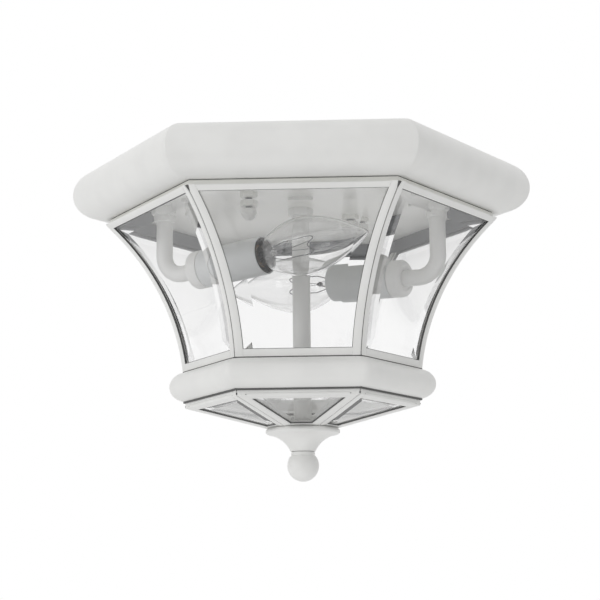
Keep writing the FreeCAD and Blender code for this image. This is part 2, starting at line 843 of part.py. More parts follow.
def ball_finial():
    """Ball with a short collar, bored to screw on to the rod's end."""
    ball = Part.makeSphere(ball_radius, FreeCAD.Vector(0, 0, ball_centre_z))
    collar_low = finial_top_z - ball_collar_height - ball_radius / 2
    ball = ball.common(layer(ball_centre_z - ball_radius - overrun, finial_top_z))
    ball = ball.fuse(upright(ball_collar_radius, collar_low, finial_top_z)).removeSplitter()
    bore_low = finial_top_z - finial_bore_depth
    return ball.cut(upright(rod_radius + running_clearance, bore_low, finial_top_z + overrun))


def write(name, shape):
    """Write one node; a list becomes a group of separate solids."""
    if isinstance(shape, list):
        shape = Part.makeCompound(shape)
    solids = shape.Solids
    good = shape.isValid() and all(solid.isValid() for solid in solids)
    print(name, "solids", len(solids), "volume", round(shape.Volume, 1), "" if good else "NOT VALID")
    shape.exportStep("parts/" + name + ".step")


def main():
    os.makedirs("parts", exist_ok=True)
    for maker in (canopy_pan, canopy_plate, plate_screws, box_strap, fixture_strap, strap_eyelet,
                  ground_screw, canopy_studs, stud_nuts, acorn_nuts, centre_rod, rod_nuts, rod_washer,
                  arm_collars, arm_nuts, socket_shells, socket_contacts, cage_top_ring, cage_band,
                  lower_frames, lower_hub, bell_cap, ball_finial):
        write(maker.__name__, maker())
    for index, light in enumerate(LIGHT_NAMES):
        for maker in (arm, socket_cup, candle_sleeve, socket_body, socket_leads, bulb_glass, bulb_base,
                      bulb_stem, bulb_filament):
            write(maker.__name__ + "_" + light, maker(index))
    for side, side_name in enumerate(SIDE_NAMES):
        for maker in (upper_frame, upper_glass, lower_glass):
            write(maker.__name__ + "_" + side_name, maker(side))


main()
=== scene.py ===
"""Outdoor ceiling light: the looks of every piece, the lamps and the camera.

Lengths of the light are millimetres in the row frame, and those of the studio are metres. The
origin is the centre of the ceiling plane, +Z points up, the light hangs below it, and a flat side
of the hexagon faces -Y.
"""
from __future__ import annotations

import json
import logging
import math
from dataclasses import dataclass, field
from enum import Enum
from typing import Any, Sequence

import bmesh
import bpy
from mathutils import Matrix, Vector

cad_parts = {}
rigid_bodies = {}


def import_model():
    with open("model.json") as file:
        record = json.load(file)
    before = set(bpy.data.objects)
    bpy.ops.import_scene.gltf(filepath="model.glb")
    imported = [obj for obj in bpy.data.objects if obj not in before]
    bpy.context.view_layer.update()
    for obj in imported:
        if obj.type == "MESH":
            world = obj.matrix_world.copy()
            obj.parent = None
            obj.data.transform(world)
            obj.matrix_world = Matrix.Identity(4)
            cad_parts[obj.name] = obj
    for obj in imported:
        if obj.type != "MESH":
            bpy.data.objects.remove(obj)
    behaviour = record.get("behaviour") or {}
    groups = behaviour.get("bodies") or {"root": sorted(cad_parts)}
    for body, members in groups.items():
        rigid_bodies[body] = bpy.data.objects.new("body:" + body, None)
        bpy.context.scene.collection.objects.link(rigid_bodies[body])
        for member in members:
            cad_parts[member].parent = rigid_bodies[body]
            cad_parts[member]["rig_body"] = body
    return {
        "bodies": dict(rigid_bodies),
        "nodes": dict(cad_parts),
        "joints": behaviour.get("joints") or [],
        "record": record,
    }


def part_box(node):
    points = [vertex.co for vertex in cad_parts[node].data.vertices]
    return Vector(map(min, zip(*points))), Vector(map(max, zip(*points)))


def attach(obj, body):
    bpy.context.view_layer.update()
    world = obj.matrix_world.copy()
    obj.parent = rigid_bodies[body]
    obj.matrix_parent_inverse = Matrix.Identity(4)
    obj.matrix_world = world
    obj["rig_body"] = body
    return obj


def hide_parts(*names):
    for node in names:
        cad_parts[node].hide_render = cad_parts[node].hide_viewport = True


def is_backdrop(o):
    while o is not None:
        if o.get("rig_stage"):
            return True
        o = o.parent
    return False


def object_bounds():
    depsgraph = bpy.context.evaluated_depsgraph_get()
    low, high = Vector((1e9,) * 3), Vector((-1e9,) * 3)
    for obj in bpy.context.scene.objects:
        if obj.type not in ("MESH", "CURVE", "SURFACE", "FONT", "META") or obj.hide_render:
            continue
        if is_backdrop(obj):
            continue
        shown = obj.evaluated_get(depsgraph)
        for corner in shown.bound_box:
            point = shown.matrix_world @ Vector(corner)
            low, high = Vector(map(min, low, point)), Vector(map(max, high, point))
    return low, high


log = logging.getLogger("ceiling_light")

MM = 0.001
SIDES = 6
HALF_SIDE = math.pi / SIDES
TAN_HALF = math.tan(HALF_SIDE)
COS_HALF = math.cos(HALF_SIDE)
QUARTER = math.pi / 2

# Points closer than this are one point, in metres
WELD = 2e-6

# Edges that turn more than this stay sharp in smooth shading, in degrees
CREASE = 32.0

# Faces that turn less than this are joined into one flat face, in degrees
FLAT = 0.5

# Share of a bar's length beyond which its points belong to its far end
FAR_END = 0.999

# Share of a stretch that the rounding of one of its corners may take up
MOST_CUT = 0.45

# Share of the way to the corner at which the handles of a rounding stand
ROUND_PULL = 0.55

# Values between which a noise moves a roughness from one limit to the other
NOISE_LOW = 0.3
NOISE_HIGH = 0.7

# Values between which a noise blends one colour into another
BLEND_LOW = 0.35
BLEND_HIGH = 0.65

Point = tuple[float, float]


class Side(Enum):
    """Sides of the hexagon, with the direction of each one's middle in degrees from +X."""

    FRONT = -90.0
    FRONT_RIGHT = -30.0
    BACK_RIGHT = 30.0
    BACK = 90.0
    BACK_LEFT = 150.0
    FRONT_LEFT = 210.0

    @property
    def turn(self) -> Matrix:
        """Turn that takes +X to this side's middle."""
        return Matrix.Rotation(math.radians(self.value), 4, "Z")

    @property
    def word(self) -> str:
        """Name of the side as the nodes spell it."""
        return self.name.lower()


class Light(Enum):
    """The two candle lights."""

    LEFT = "left"
    RIGHT = "right"


# Outlines

def arc_through(start: Point, middle: Point, end: Point, steps: int) -> list[Point]:
    """Points after the start of a circular arc through three points.

    Args:
        start: first point of the arc.
        middle: any point on the arc between its ends.
        end: last point of the arc.
        steps: number of stretches.

    Returns:
        The points after the start, the end included.
    """
    (ax, ay), (bx, by), (cx, cy) = start, middle, end
    turn = 2 * (ax * (by - cy) + bx * (cy - ay) + cx * (ay - by))
    a2, b2, c2 = ax * ax + ay * ay, bx * bx + by * by, cx * cx + cy * cy
    ox = (a2 * (by - cy) + b2 * (cy - ay) + c2 * (ay - by)) / turn
    oy = (a2 * (cx - bx) + b2 * (ax - cx) + c2 * (bx - ax)) / turn
    radius = math.hypot(ax - ox, ay - oy)
    first = math.atan2(ay - oy, ax - ox)
    through = (math.atan2(by - oy, bx - ox) - first) % math.tau
    sweep = (math.atan2(cy - oy, cx - ox) - first) % math.tau
    if through > sweep:
        sweep -= math.tau
    angles = [first + sweep * k / steps for k in range(1, steps + 1)]
    return [(ox + radius * math.cos(a), oy + radius * math.sin(a)) for a in angles]


def bezier(start: Point, pull_a: Point, pull_b: Point, end: Point, steps: int) -> list[Point]:
    """Points after the start of a cubic curve.

    Args:
        start: first point.
        pull_a: handle of the first point.
        pull_b: handle of the last point.
        end: last point.
        steps: number of stretches.

    Returns:
        The points after the start, the end included.
    """
    made = []
    for k in range(1, steps + 1):
        t = k / steps
        s = 1 - t
        weights = (s ** 3, 3 * s * s * t, 3 * s * t * t, t ** 3)
        made.append(tuple(sum(w * p[i] for w, p in zip(weights, (start, pull_a, pull_b, end)))
                          for i in range(2)))
    return made


def softened(points: Sequence[Point], radius: float, steps: int = 3, closed: bool = True,
             least_turn: float = 30.0) -> list[Point]:
    """Outline with its sharp corners rounded.

    Args:
        points: corners of the outline, in order.
        radius: radius of the rounding; short stretches get less.
        steps: stretches in each rounding.
        closed: whether the last point joins the first.
        least_turn: corners that turn less, in degrees, stay as they are.

    Returns:
        The rounded outline.
    """
    made = []
    count = len(points)
    for k, here in enumerate(points):
        if not closed and k in (0, count - 1):
            made.append(here)
            continue
        corner = Vector(here)
        back = Vector(points[k - 1]) - corner
        ahead = Vector(points[(k + 1) % count]) - corner
        turn = math.pi - back.angle(ahead)
        if math.degrees(turn) < least_turn:
            made.append(here)
            continue
        cut = min(radius * math.tan(turn / 2), MOST_CUT * back.length, MOST_CUT * ahead.length)
        start = corner + back.normalized() * cut
        end = corner + ahead.normalized() * cut
        made.append(tuple(start))
        made.extend(bezier(tuple(start), tuple(start.lerp(corner, ROUND_PULL)),
                           tuple(end.lerp(corner, ROUND_PULL)), tuple(end), steps))
    return made


def drawn_in(points: Sequence[Point], depth: float) -> list[Point]:
    """Open outline moved to its right-hand side by a depth.

    Args:
        points: the outline, in order.
        depth: how far it moves.

    Returns:
        The moved outline, with as many points.
    """
    made = []
    for k, here in enumerate(points):
        before = Vector(points[max(k - 1, 0)])
        after = Vector(points[min(k + 1, len(points) - 1)])
        along = (after - before).normalized()
        made.append((here[0] + along.y * depth, here[1] - along.x * depth))
    return made


# Meshes

def spun(outline: Sequence[Point], steps: int, closed: bool = True) -> bmesh.types.BMesh:
    """Mesh of an outline turned once about the vertical axis.

    Args:
        outline: points as radius and height in millimetres.
        steps: stretches round the axis.
        closed: whether the outline's last point joins its first; an open one ends on the axis.

    Returns:
        The mesh, in metres.
    """
    bm = bmesh.new()
    verts = [bm.verts.new((r * MM, 0.0, z * MM)) for r, z in outline]
    pairs = list(zip(verts, verts[1:]))
    if closed:
        pairs.append((verts[-1], verts[0]))
    edges = [bm.edges.new(pair) for pair in pairs]
    bmesh.ops.spin(bm, geom=verts + edges, cent=(0, 0, 0), axis=(0, 0, 1), angle=math.tau,
                   steps=steps, use_merge=True, use_duplicate=False)
    bmesh.ops.remove_doubles(bm, verts=bm.verts, dist=WELD)
    bmesh.ops.recalc_face_normals(bm, faces=bm.faces)
    return bm


def hexagon_ring(outline: Sequence[Point], mitre: float, segments: int = 4) -> bmesh.types.BMesh:
    """Hexagonal ring whose section is an outline of apothem and height, with softened mitres.

    Args:
        outline: the section in millimetres, closed.
        mitre: how far the corner edges are rounded.
        segments: stretches of that rounding.

    Returns:
        The mesh, with its corners along +X and -X.
    """
    bm = spun([(r / COS_HALF, z) for r, z in outline], SIDES)
    corners = []
    for edge in bm.edges:
        a, b = (v.co for v in edge.verts)
        across = abs(a.x * b.y - a.y * b.x)
        if across < WELD * max(a.xy.length, b.xy.length):
            corners.append(edge)
    bmesh.ops.bevel(bm, geom=corners, offset=mitre * MM, offset_type="OFFSET", segments=segments,
                    profile=0.5, affect="EDGES", clamp_overlap=True, material=-1)
    bmesh.ops.recalc_face_normals(bm, faces=bm.faces)
    return bm


def prism(section: Sequence[Point], cuts: int = 0) -> bmesh.types.BMesh:
    """Straight bar of a section, one unit long, cut across at even steps.

    Args:
        section: corners of the section, taken as X and Y.
        cuts: number of cuts along Z.

    Returns:
        The mesh, from Z 0 to Z 1.
    """
    bm = bmesh.new()
    face = bm.faces.new([bm.verts.new((x, y, 0.0)) for x, y in section])
    grown = bmesh.ops.extrude_face_region(bm, geom=[face])
    top = [g for g in grown["geom"] if isinstance(g, bmesh.types.BMVert)]
    bmesh.ops.translate(bm, verts=top, vec=(0, 0, 1))
    for k in range(1, cuts + 1):
        level = k / (cuts + 1)
        bmesh.ops.bisect_plane(bm, geom=bm.verts[:] + bm.edges[:] + bm.faces[:],
                               plane_co=(0, 0, level), plane_no=(0, 0, 1))
    return bm


def add_wire(bm: bmesh.types.BMesh, points: Sequence[Vector], radius: float, sides: int = 12) -> None:
    """Adds a round wire with a ball at each of its points.

    Args:
        bm: the mesh that the wire goes into.
        points: the wire's line, in metres.
        radius: radius of the wire, in metres.
        sides: faces round the wire.
    """
    for point in points:
        bmesh.ops.create_uvsphere(bm, u_segments=sides, v_segments=sides * 2 // 3, radius=radius,
                                  matrix=Matrix.Translation(point))
    for start, end in zip(points, points[1:]):
        run = end - start
        lay = Matrix.Translation((start + end) / 2) @ run.to_track_quat("Z", "Y").to_matrix().to_4x4()
        bmesh.ops.create_cone(bm, cap_ends=True, segments=sides, radius1=radius, radius2=radius,
                              depth=run.length, matrix=lay)


def mesh_from(bm: bmesh.types.BMesh, name: str) -> bpy.types.Mesh:
    """Finishes the editing of a mesh.

    Args:
        bm: the mesh, which is freed.
        name: name of the data that is made.

    Returns:
        The mesh data.
    """
    mesh = bpy.data.meshes.new(name)
    bm.to_mesh(mesh)
    bm.free()
    return mesh


def in_scene(name: str, data: Any) -> bpy.types.Object:
    """Object that is linked to the scene.

    Args:
        name: name of the object.
        data: its mesh, lamp or camera data.

    Returns:
        The object.
    """
    made = bpy.data.objects.new(name, data)
    bpy.context.scene.collection.objects.link(made)
    return made


def merged(parts: Sequence[bmesh.types.BMesh]) -> bmesh.types.BMesh:
    """One mesh out of several.

    Args:
        parts: the meshes, which are freed.

    Returns:
        The mesh with all their faces.
    """
    whole = bmesh.new()
    for part in parts:
        mesh = mesh_from(part, "part")
        whole.from_mesh(mesh)
        bpy.data.meshes.remove(mesh)
    return whole


def moved(bm: bmesh.types.BMesh, matrix: Matrix) -> bmesh.types.BMesh:
    """The same mesh, placed by a matrix."""
    bmesh.ops.transform(bm, matrix=matrix, verts=bm.verts)
    return bm


def copied(bm: bmesh.types.BMesh, matrix: Matrix) -> bmesh.types.BMesh:
    """Copy of a mesh, placed by a matrix."""
    return moved(bm.copy(), matrix)


# Materials

def linear(colour: str) -> tuple[float, float, float, float]:
    """Linear colour of an sRGB colour.

    Args:
        colour: six hex digits such as "F4F4F2".

    Returns:
        Red, green, blue and full alpha.
    """
    parts = [int(colour[k:k + 2], 16) / 255 for k in (0, 2, 4)]
    parts = [p / 12.92 if p <= 0.04045 else ((p + 0.055) / 1.055) ** 2.4 for p in parts]
    return (*parts, 1.0)


def emptied_tree(owner: Any) -> bpy.types.NodeTree:
    """Node tree without any node.

    Args:
        owner: the material or the world that it belongs to.

    Returns:
        The tree.
    """
    owner.use_nodes = True
    owner.node_tree.nodes.clear()
    return owner.node_tree


def add_node(tree: bpy.types.NodeTree, kind: str, settings: dict | None = None,
             links: dict | None = None) -> bpy.types.Node:
    """Adds a shader node.

    Args:
        tree: the node tree it goes into.
        kind: type of the node.
        settings: values by input name, input number or property name.
        links: output sockets by the name or number of the input that they feed.

    Returns:
        The node.
    """
    node = tree.nodes.new(kind)
    for key, value in (settings or {}).items():
        if isinstance(key, int) or key in node.inputs:
            node.inputs[key].default_value = value
        else:
            setattr(node, key, value)
    for key, source in (links or {}).items():
        tree.links.new(source, node.inputs[key])
    return node


def noise(tree: bpy.types.NodeTree, size: float, detail: float = 2.0, stretch: tuple = (1, 1, 1)) -> Any:
    """Noise in object space.

    Args:
        tree: the node tree.
        size: width of the pattern in millimetres.
        detail: how many finer layers it has.
        stretch: how much finer it is along each axis.

    Returns:
        The socket with the noise's value.
    """
    place = add_node(tree, "ShaderNodeTexCoord")
    scaled = add_node(tree, "ShaderNodeMapping", {"Scale": stretch}, {"Vector": place.outputs["Object"]})
    made = add_node(tree, "ShaderNodeTexNoise", {"Scale": 1 / (size * MM), "Detail": detail},
                    {"Vector": scaled.outputs["Vector"]})
    return made.outputs["Fac"]


def between(tree: bpy.types.NodeTree, value: Any, low: float, high: float) -> Any:
    """Number that follows a noise between two limits.

    Args:
        tree: the node tree.
        value: socket with the noise's value.
        low: the number where the noise is low.
        high: the number where the noise is high.

    Returns:
        The socket with the number.
    """
    node = add_node(tree, "ShaderNodeMapRange", {
        "From Min": NOISE_LOW, "From Max": NOISE_HIGH, "To Min": low, "To Max": high,
    }, {"Value": value})
    return node.outputs["Result"]


def blended(tree: bpy.types.NodeTree, value: Any, first: str, second: str) -> Any:
    """Colour that follows a noise between two colours.

    Args:
        tree: the node tree.
        value: socket with the noise's value.
        first: hex colour where the noise is low.
        second: hex colour where the noise is high.

    Returns:
        The socket with the colour.
    """
    ramp = add_node(tree, "ShaderNodeValToRGB", links={"Fac": value})
    ramp.color_ramp.elements[0].position = BLEND_LOW
    ramp.color_ramp.elements[0].color = linear(first)
    ramp.color_ramp.elements[1].position = BLEND_HIGH
    ramp.color_ramp.elements[1].color = linear(second)
    return ramp.outputs["Color"]


def relief(tree: bpy.types.NodeTree, height: Any, strength: float, depth: float) -> Any:
    """Normal of a surface with a fine relief.

    Args:
        tree: the node tree.
        height: socket with the relief's height.
        strength: how much of the relief shows.
        depth: depth of the relief in millimetres.

    Returns:
        The socket with the normal.
    """
    node = add_node(tree, "ShaderNodeBump", {"Strength": strength, "Distance": depth * MM},
                    {"Height": height})
    return node.outputs["Normal"]


@dataclass(frozen=True)
class Finish:
    """What a piece is made of and how its surface was made. The material is made once."""

    name: str

    def surface(self, tree: bpy.types.NodeTree) -> Any:
        """Socket with the finish's shader."""
        raise NotImplementedError

    def inside(self, tree: bpy.types.NodeTree) -> Any:
        """Socket with the volume shader of a clear finish, or None."""
        return None

    def material(self) -> bpy.types.Material:
        """Material of the finish.

        Returns:
            The material, new at the first call.
        """
        found = bpy.data.materials.get(self.name)
        if found:
            return found
        made = bpy.data.materials.new(self.name)
        tree = emptied_tree(made)
        links = {"Surface": self.surface(tree), "Volume": self.inside(tree)}
        add_node(tree, "ShaderNodeOutputMaterial", links={k: v for k, v in links.items() if v})
        return made


@dataclass(frozen=True)
class PowderCoat(Finish):
    """Steel with a baked polyester powder coat: satin, with a fine orange-peel texture."""

    light: str = "F6F6F4"
    dark: str = "F1F1EF"
    roughness: float = 0.40
    peel: float = 0.9
    peel_depth: float = 0.010
    cloud: float = 22.0
    glossier: float = 0.04
    duller: float = 0.05
    peel_strength: float = 0.6
    ior: float = 1.48

    def surface(self, tree: bpy.types.NodeTree) -> Any:
        """Satin white with a fine relief and a slow drift in gloss.

        Args:
            tree: the material's node tree.

        Returns:
            The socket with the shader.
        """
        normal = relief(tree, noise(tree, self.peel, detail=3.0), self.peel_strength, self.peel_depth)
        cloud = noise(tree, self.cloud)
        shader = add_node(tree, "ShaderNodeBsdfPrincipled", {"IOR": self.ior}, {
            "Base Color": blended(tree, cloud, self.dark, self.light),
            "Roughness": between(tree, cloud, self.roughness - self.glossier, self.roughness + self.duller),
            "Normal": normal,
        })
        return shader.outputs["BSDF"]


@dataclass(frozen=True)
class Metal(Finish):
    """Bare or plated metal: fine grains that differ a little in tone, polish and height."""

    light: str
    dark: str
    roughness: float
    grain: float = 1.4
    grain_depth: float = 0.004
    glossier: float = 0.05
    duller: float = 0.08
    grain_strength: float = 0.5

    def surface(self, tree: bpy.types.NodeTree) -> Any:
        """Metal whose tone and roughness follow its grain.

        Args:
            tree: the material's node tree.

        Returns:
            The socket with the shader.
        """
        grain = noise(tree, self.grain, detail=3.0)
        shader = add_node(tree, "ShaderNodeBsdfPrincipled", {"Metallic": 1.0}, {
            "Base Color": blended(tree, grain, self.dark, self.light),
            "Roughness": between(tree, grain, self.roughness - self.glossier, self.roughness + self.duller),
            "Normal": relief(tree, grain, self.grain_strength, self.grain_depth),
        })
        return shader.outputs["BSDF"]


@dataclass(frozen=True)
class Moulded(Finish):
    """Moulded plastic or resin: even colour, soft sheen, faint flow marks from the mould."""

    light: str
    dark: str
    roughness: float
    flow: float = 6.0
    glow: float = 0.0
    shine: float = 0.5
    flow_depth: float = 0.006
    flow_strength: float = 0.4
    flow_stretch: tuple = (1, 1, 0.4)
    glow_reach: float = 0.8
    glossier: float = 0.03
    duller: float = 0.05
    ior: float = 1.5

    def surface(self, tree: bpy.types.NodeTree) -> Any:
        """Plastic, into which light sinks where the glow says so.

        Args:
            tree: the material's node tree.

        Returns:
            The socket with the shader.
        """
        flow = noise(tree, self.flow, stretch=self.flow_stretch)
        shader = add_node(tree, "ShaderNodeBsdfPrincipled", {
            "IOR": self.ior, "Specular IOR Level": self.shine,
            "Subsurface Weight": self.glow, "Subsurface Scale": self.glow_reach * MM,
            "Subsurface Radius": (1.0, 1.0, 1.0),
        }, {
            "Base Color": blended(tree, flow, self.dark, self.light),
            "Roughness": between(tree, flow, self.roughness - self.glossier, self.roughness + self.duller),
            "Normal": relief(tree, flow, self.flow_strength, self.flow_depth),
        })
        return shader.outputs["BSDF"]


@dataclass(frozen=True)
class Glass(Finish):
    """Clear glass: sharp refraction, with a trace of colour and faint waves from its making."""

    tint: str
    shade: str = "F8F8F8"
    wave: float = 18.0
    wave_depth: float = 0.004
    loss: float = 0.0
    wave_strength: float = 0.3
    ior: float = 1.5

    def inside(self, tree: bpy.types.NodeTree) -> Any:
        """Even loss of light in the glass, which darkens the rims of thin walls.

        Args:
            tree: the material's node tree.

        Returns:
            The socket with the volume shader, or None for glass without a loss.
        """
        if not self.loss:
            return None
        return add_node(tree, "ShaderNodeVolumeAbsorption",
                        {"Color": linear("000000"), "Density": self.loss}).outputs["Volume"]

    def surface(self, tree: bpy.types.NodeTree) -> Any:
        """Refracting glass that lets shadow rays and soft light straight through.

        Args:
            tree: the material's node tree.

        Returns:
            The socket with the shader.
        """
        normal = relief(tree, noise(tree, self.wave, detail=0.0), self.wave_strength, self.wave_depth)
        glass = add_node(tree, "ShaderNodeBsdfPrincipled", {
            "Base Color": linear(self.tint), "Roughness": 0.0, "IOR": self.ior,
            "Transmission Weight": 1.0,
        }, {"Normal": normal})
        clear = add_node(tree, "ShaderNodeBsdfTransparent", {"Color": linear(self.shade)})
        path = add_node(tree, "ShaderNodeLightPath")
        passes = add_node(tree, "ShaderNodeMath", {"operation": "MAXIMUM"},
                          {0: path.outputs["Is Shadow Ray"], 1: path.outputs["Is Diffuse Ray"]})
        mixed = add_node(tree, "ShaderNodeMixShader", links={
            "Fac": passes.outputs["Value"], 1: glass.outputs["BSDF"], 2: clear.outputs["BSDF"]})
        return mixed.outputs["Shader"]


# Satin white paint of all visible metal: soft wide highlights and a barely seen texture
ENAMEL = PowderCoat("white_powder_coat")
# The same paint on the flat plate, where it levels out: a little warmer, glossier and smoother. It also
# covers the stud nuts and the strip under the pan, and its lighter tone is painted light that makes up for
# light the glass and the pan hold back
PLATE_ENAMEL = PowderCoat("white_powder_coat_on_plate", "F8F8F4", "F4F4EF", 0.33, peel_depth=0.004)
# Bright zinc on stamped steel: bluish grey with a cloudy, half-blurred shine
ZINC = Metal("zinc_plated_steel", "BFC2C6", "A4A8AD", 0.34)
# The ground screw's green dye over zinc: dark green with a metal shine
GREEN = Metal("green_dyed_zinc", "3E7A4C", "2F6440", 0.36)
# Drawn brass of the screw shell, dulled by lacquer: warm brown-yellow
BRASS = Metal("lacquered_brass", "7E6236", "5E4624", 0.40, 0.8)
# Nickel on the bulb's rolled brass base, dulled by heat: warm grey
NICKEL = Metal("nickel_plated_base", "96938C", "7C7973", 0.32, 0.8)
# Tungsten and steel wires in the bulb: dark neutral grey
TUNGSTEN = Metal("tungsten_wire", "4E4E50", "38383A", 0.38, 0.3)
# Lamp holder of black-brown phenolic resin: nearly black with a dull sheen
PHENOLIC = Moulded("phenolic_resin", "1F1A18", "151110", 0.60, shine=0.12)
# Extruded candle sleeve: off-white plastic into which the light sinks a little
SLEEVE = Moulded("white_sleeve_plastic", "E4E6E6", "DFE1E1", 0.46, 12.0, 0.10)
# Soft black vinyl of the wire insulation; the same black on the thin strips at the glass edges, along the
# frames' seams and above and below the band is painted shade
VINYL_AND_PAINTED_SHADE = Moulded("black_vinyl", "343536", "2A2B2C", 0.55, 3.0)
# Dull mid grey metal on the studs, the ring's wall and the upper cross channels' inner halves: painted
# shade, for the shade on the threads between the nuts and on the walls inside the cage under the canopy
PAINTED_SHADE_GREY = Metal("dull_sheet_steel", "7C7E82", "6C6E72", 0.45)
# Polished plate glass of the panes: almost colourless
PANE_GLASS = Glass("polished_plate_glass", "FDFDFD", "F0F0F0")
# Blown bulb glass: thin, with the soft waves of blowing and rims a little darker than the rest
BULB_GLASS = Glass("blown_bulb_glass", "FDFDFD", "FCFCFC", 9.0, 0.010, loss=70.0)

# The grey_steel slot holds painted shade; black_vinyl holds the wires' insulation and painted shade
FINISH_OF_SLOT: dict[str, Finish] = {
    "white_enamel": ENAMEL, "white_plate": PLATE_ENAMEL, "zinc_plate": ZINC, "green_screw": GREEN,
    "clear_glass": PANE_GLASS, "bulb_glass": BULB_GLASS, "candle_sleeve": SLEEVE,
    "socket_phenolic": PHENOLIC, "brass": BRASS, "bulb_base": NICKEL, "black_vinyl": VINYL_AND_PAINTED_SHADE,
    "filament": TUNGSTEN, "grey_steel": PAINTED_SHADE_GREY,
}


@dataclass
class Workshop:
    """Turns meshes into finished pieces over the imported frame."""

    frame: dict
    slots: dict[str, str] = field(default_factory=dict)

    def __post_init__(self) -> None:
        """Learns each node's slot and dresses every CAD node in its finish."""
        for part in self.frame["record"]["subparts"]:
            self.slots[part["node"]] = part["material_slot"]
        for name, node in self.frame["nodes"].items():
            node.data.materials.clear()
            node.data.materials.append(FINISH_OF_SLOT[self.slots[name]].material())

    def piece(self, bm: bmesh.types.BMesh, name: str, nodes: Sequence[str], crease: float = CREASE,
              slot: str | None = None) -> bpy.types.Object:
        """Finishes one piece that stands for CAD nodes.

        Args:
            bm: its mesh in the row frame, which is freed.
            name: name of the piece.
            nodes: the CAD nodes that it stands for; the first gives its body and slot.
            crease: edges that turn more, in degrees, stay sharp.
            slot: another material slot, where it isn't the node's.

        Returns:
            The piece's object.
        """
        limit = math.radians(crease)
        for face in bm.faces:
            face.smooth = True
        for edge in bm.edges:
            edge.smooth = not (len(edge.link_faces) == 2 and edge.calc_face_angle(0.0) > limit)
        mesh = mesh_from(bm, name)
        made = in_scene(name, mesh)
        slot = slot or self.slots[nodes[0]]
        mesh.materials.append(FINISH_OF_SLOT[slot].material())
        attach(made, self.frame["nodes"][nodes[0]]["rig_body"])
        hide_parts(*nodes)
        log.info("%s: %d faces for %s", name, len(mesh.polygons), ", ".join(nodes))
        return made

    def refined(self, node: str, soft: float = 0.0, crease: float = CREASE,
                slot: str | None = None) -> bpy.types.Object:
        """Welded copy of a CAD node with softened edges.

        Args:
            node: the CAD node.
            soft: how far its sharp edges are rounded, in millimetres.
            crease: edges that turn more, in degrees, stay sharp.
            slot: another material slot, where it isn't the node's.

        Returns:
            The piece's object.
        """
        bm = bmesh.new()
        bm.from_mesh(self.frame["nodes"][node].data)
        bmesh.ops.remove_doubles(bm, verts=bm.verts, dist=WELD)
        bmesh.ops.dissolve_limit(bm, angle_limit=math.radians(FLAT), verts=bm.verts, edges=bm.edges,
                                 use_dissolve_boundaries=False)
        if soft:
            limit = math.radians(crease)
            sharp = [e for e in bm.edges if len(e.link_faces) == 2 and e.calc_face_angle(0.0) > limit]
            bmesh.ops.bevel(bm, geom=sharp, offset=soft * MM, offset_type="OFFSET", segments=2,
                            profile=0.5, affect="EDGES", clamp_overlap=True, material=-1)
        bmesh.ops.recalc_face_normals(bm, faces=bm.faces)
        return self.piece(bm, "look_" + node, [node], crease, slot)


# Canopy

@dataclass
class Canopy:
    """Pressed pan with a half-round edge, and the plate that closes it from below."""

    roll_radius: float = 14.75
    roll_apothem: float = 101.05
    sheet: float = 1.2
    rim_width: float = 12.0
    return_apothem: float = 97.2
    ledge_inner: float = 55.17
    plate_top: float = -23.9
    mitre: float = 0.8
    press_edge: float = 0.7
    roll_steps: int = 26
    screw_edge: float = 0.12

    def pan_outline(self) -> list[Point]:
        """Section of the pan, from the rim round the roll to the ledge and back inside.

        Returns:
            The closed section as apothem and height.
        """
        low = -2 * self.roll_radius
        outer = self.roll_apothem + self.roll_radius
        inner = outer - self.sheet
        rim_inner = self.roll_apothem - self.rim_width
        wall = self.return_apothem - self.sheet
        ledge_top = self.plate_top + self.sheet
        middle = -self.roll_radius
        points = [(rim_inner, 0.0), (self.roll_apothem, 0.0)]
        points += arc_through(points[-1], (outer, middle), (self.roll_apothem, low), self.roll_steps)
        points += softened([points[-1], (wall, low), (wall, self.plate_top)], self.press_edge, 4,
                           closed=False)[1:]
        points += [(self.ledge_inner, self.plate_top), (self.ledge_inner, ledge_top),
                   (self.return_apothem, ledge_top), (self.return_apothem, low + self.sheet),
                   (self.roll_apothem, low + self.sheet)]
        points += arc_through(points[-1], (inner, middle), (self.roll_apothem, -self.sheet),
                              self.roll_steps)
        points.append((rim_inner, -self.sheet))
        return points

    def build(self, shop: Workshop) -> None:
        """Makes the pan, the plate and its screws.

        Args:
            shop: finishes the pieces.
        """
        shop.piece(hexagon_ring(self.pan_outline(), self.mitre), "look_canopy_pan", ["canopy_pan"])
        shop.refined("canopy_plate")
        shop.refined("plate_screws", self.screw_edge)


# Ceiling hardware

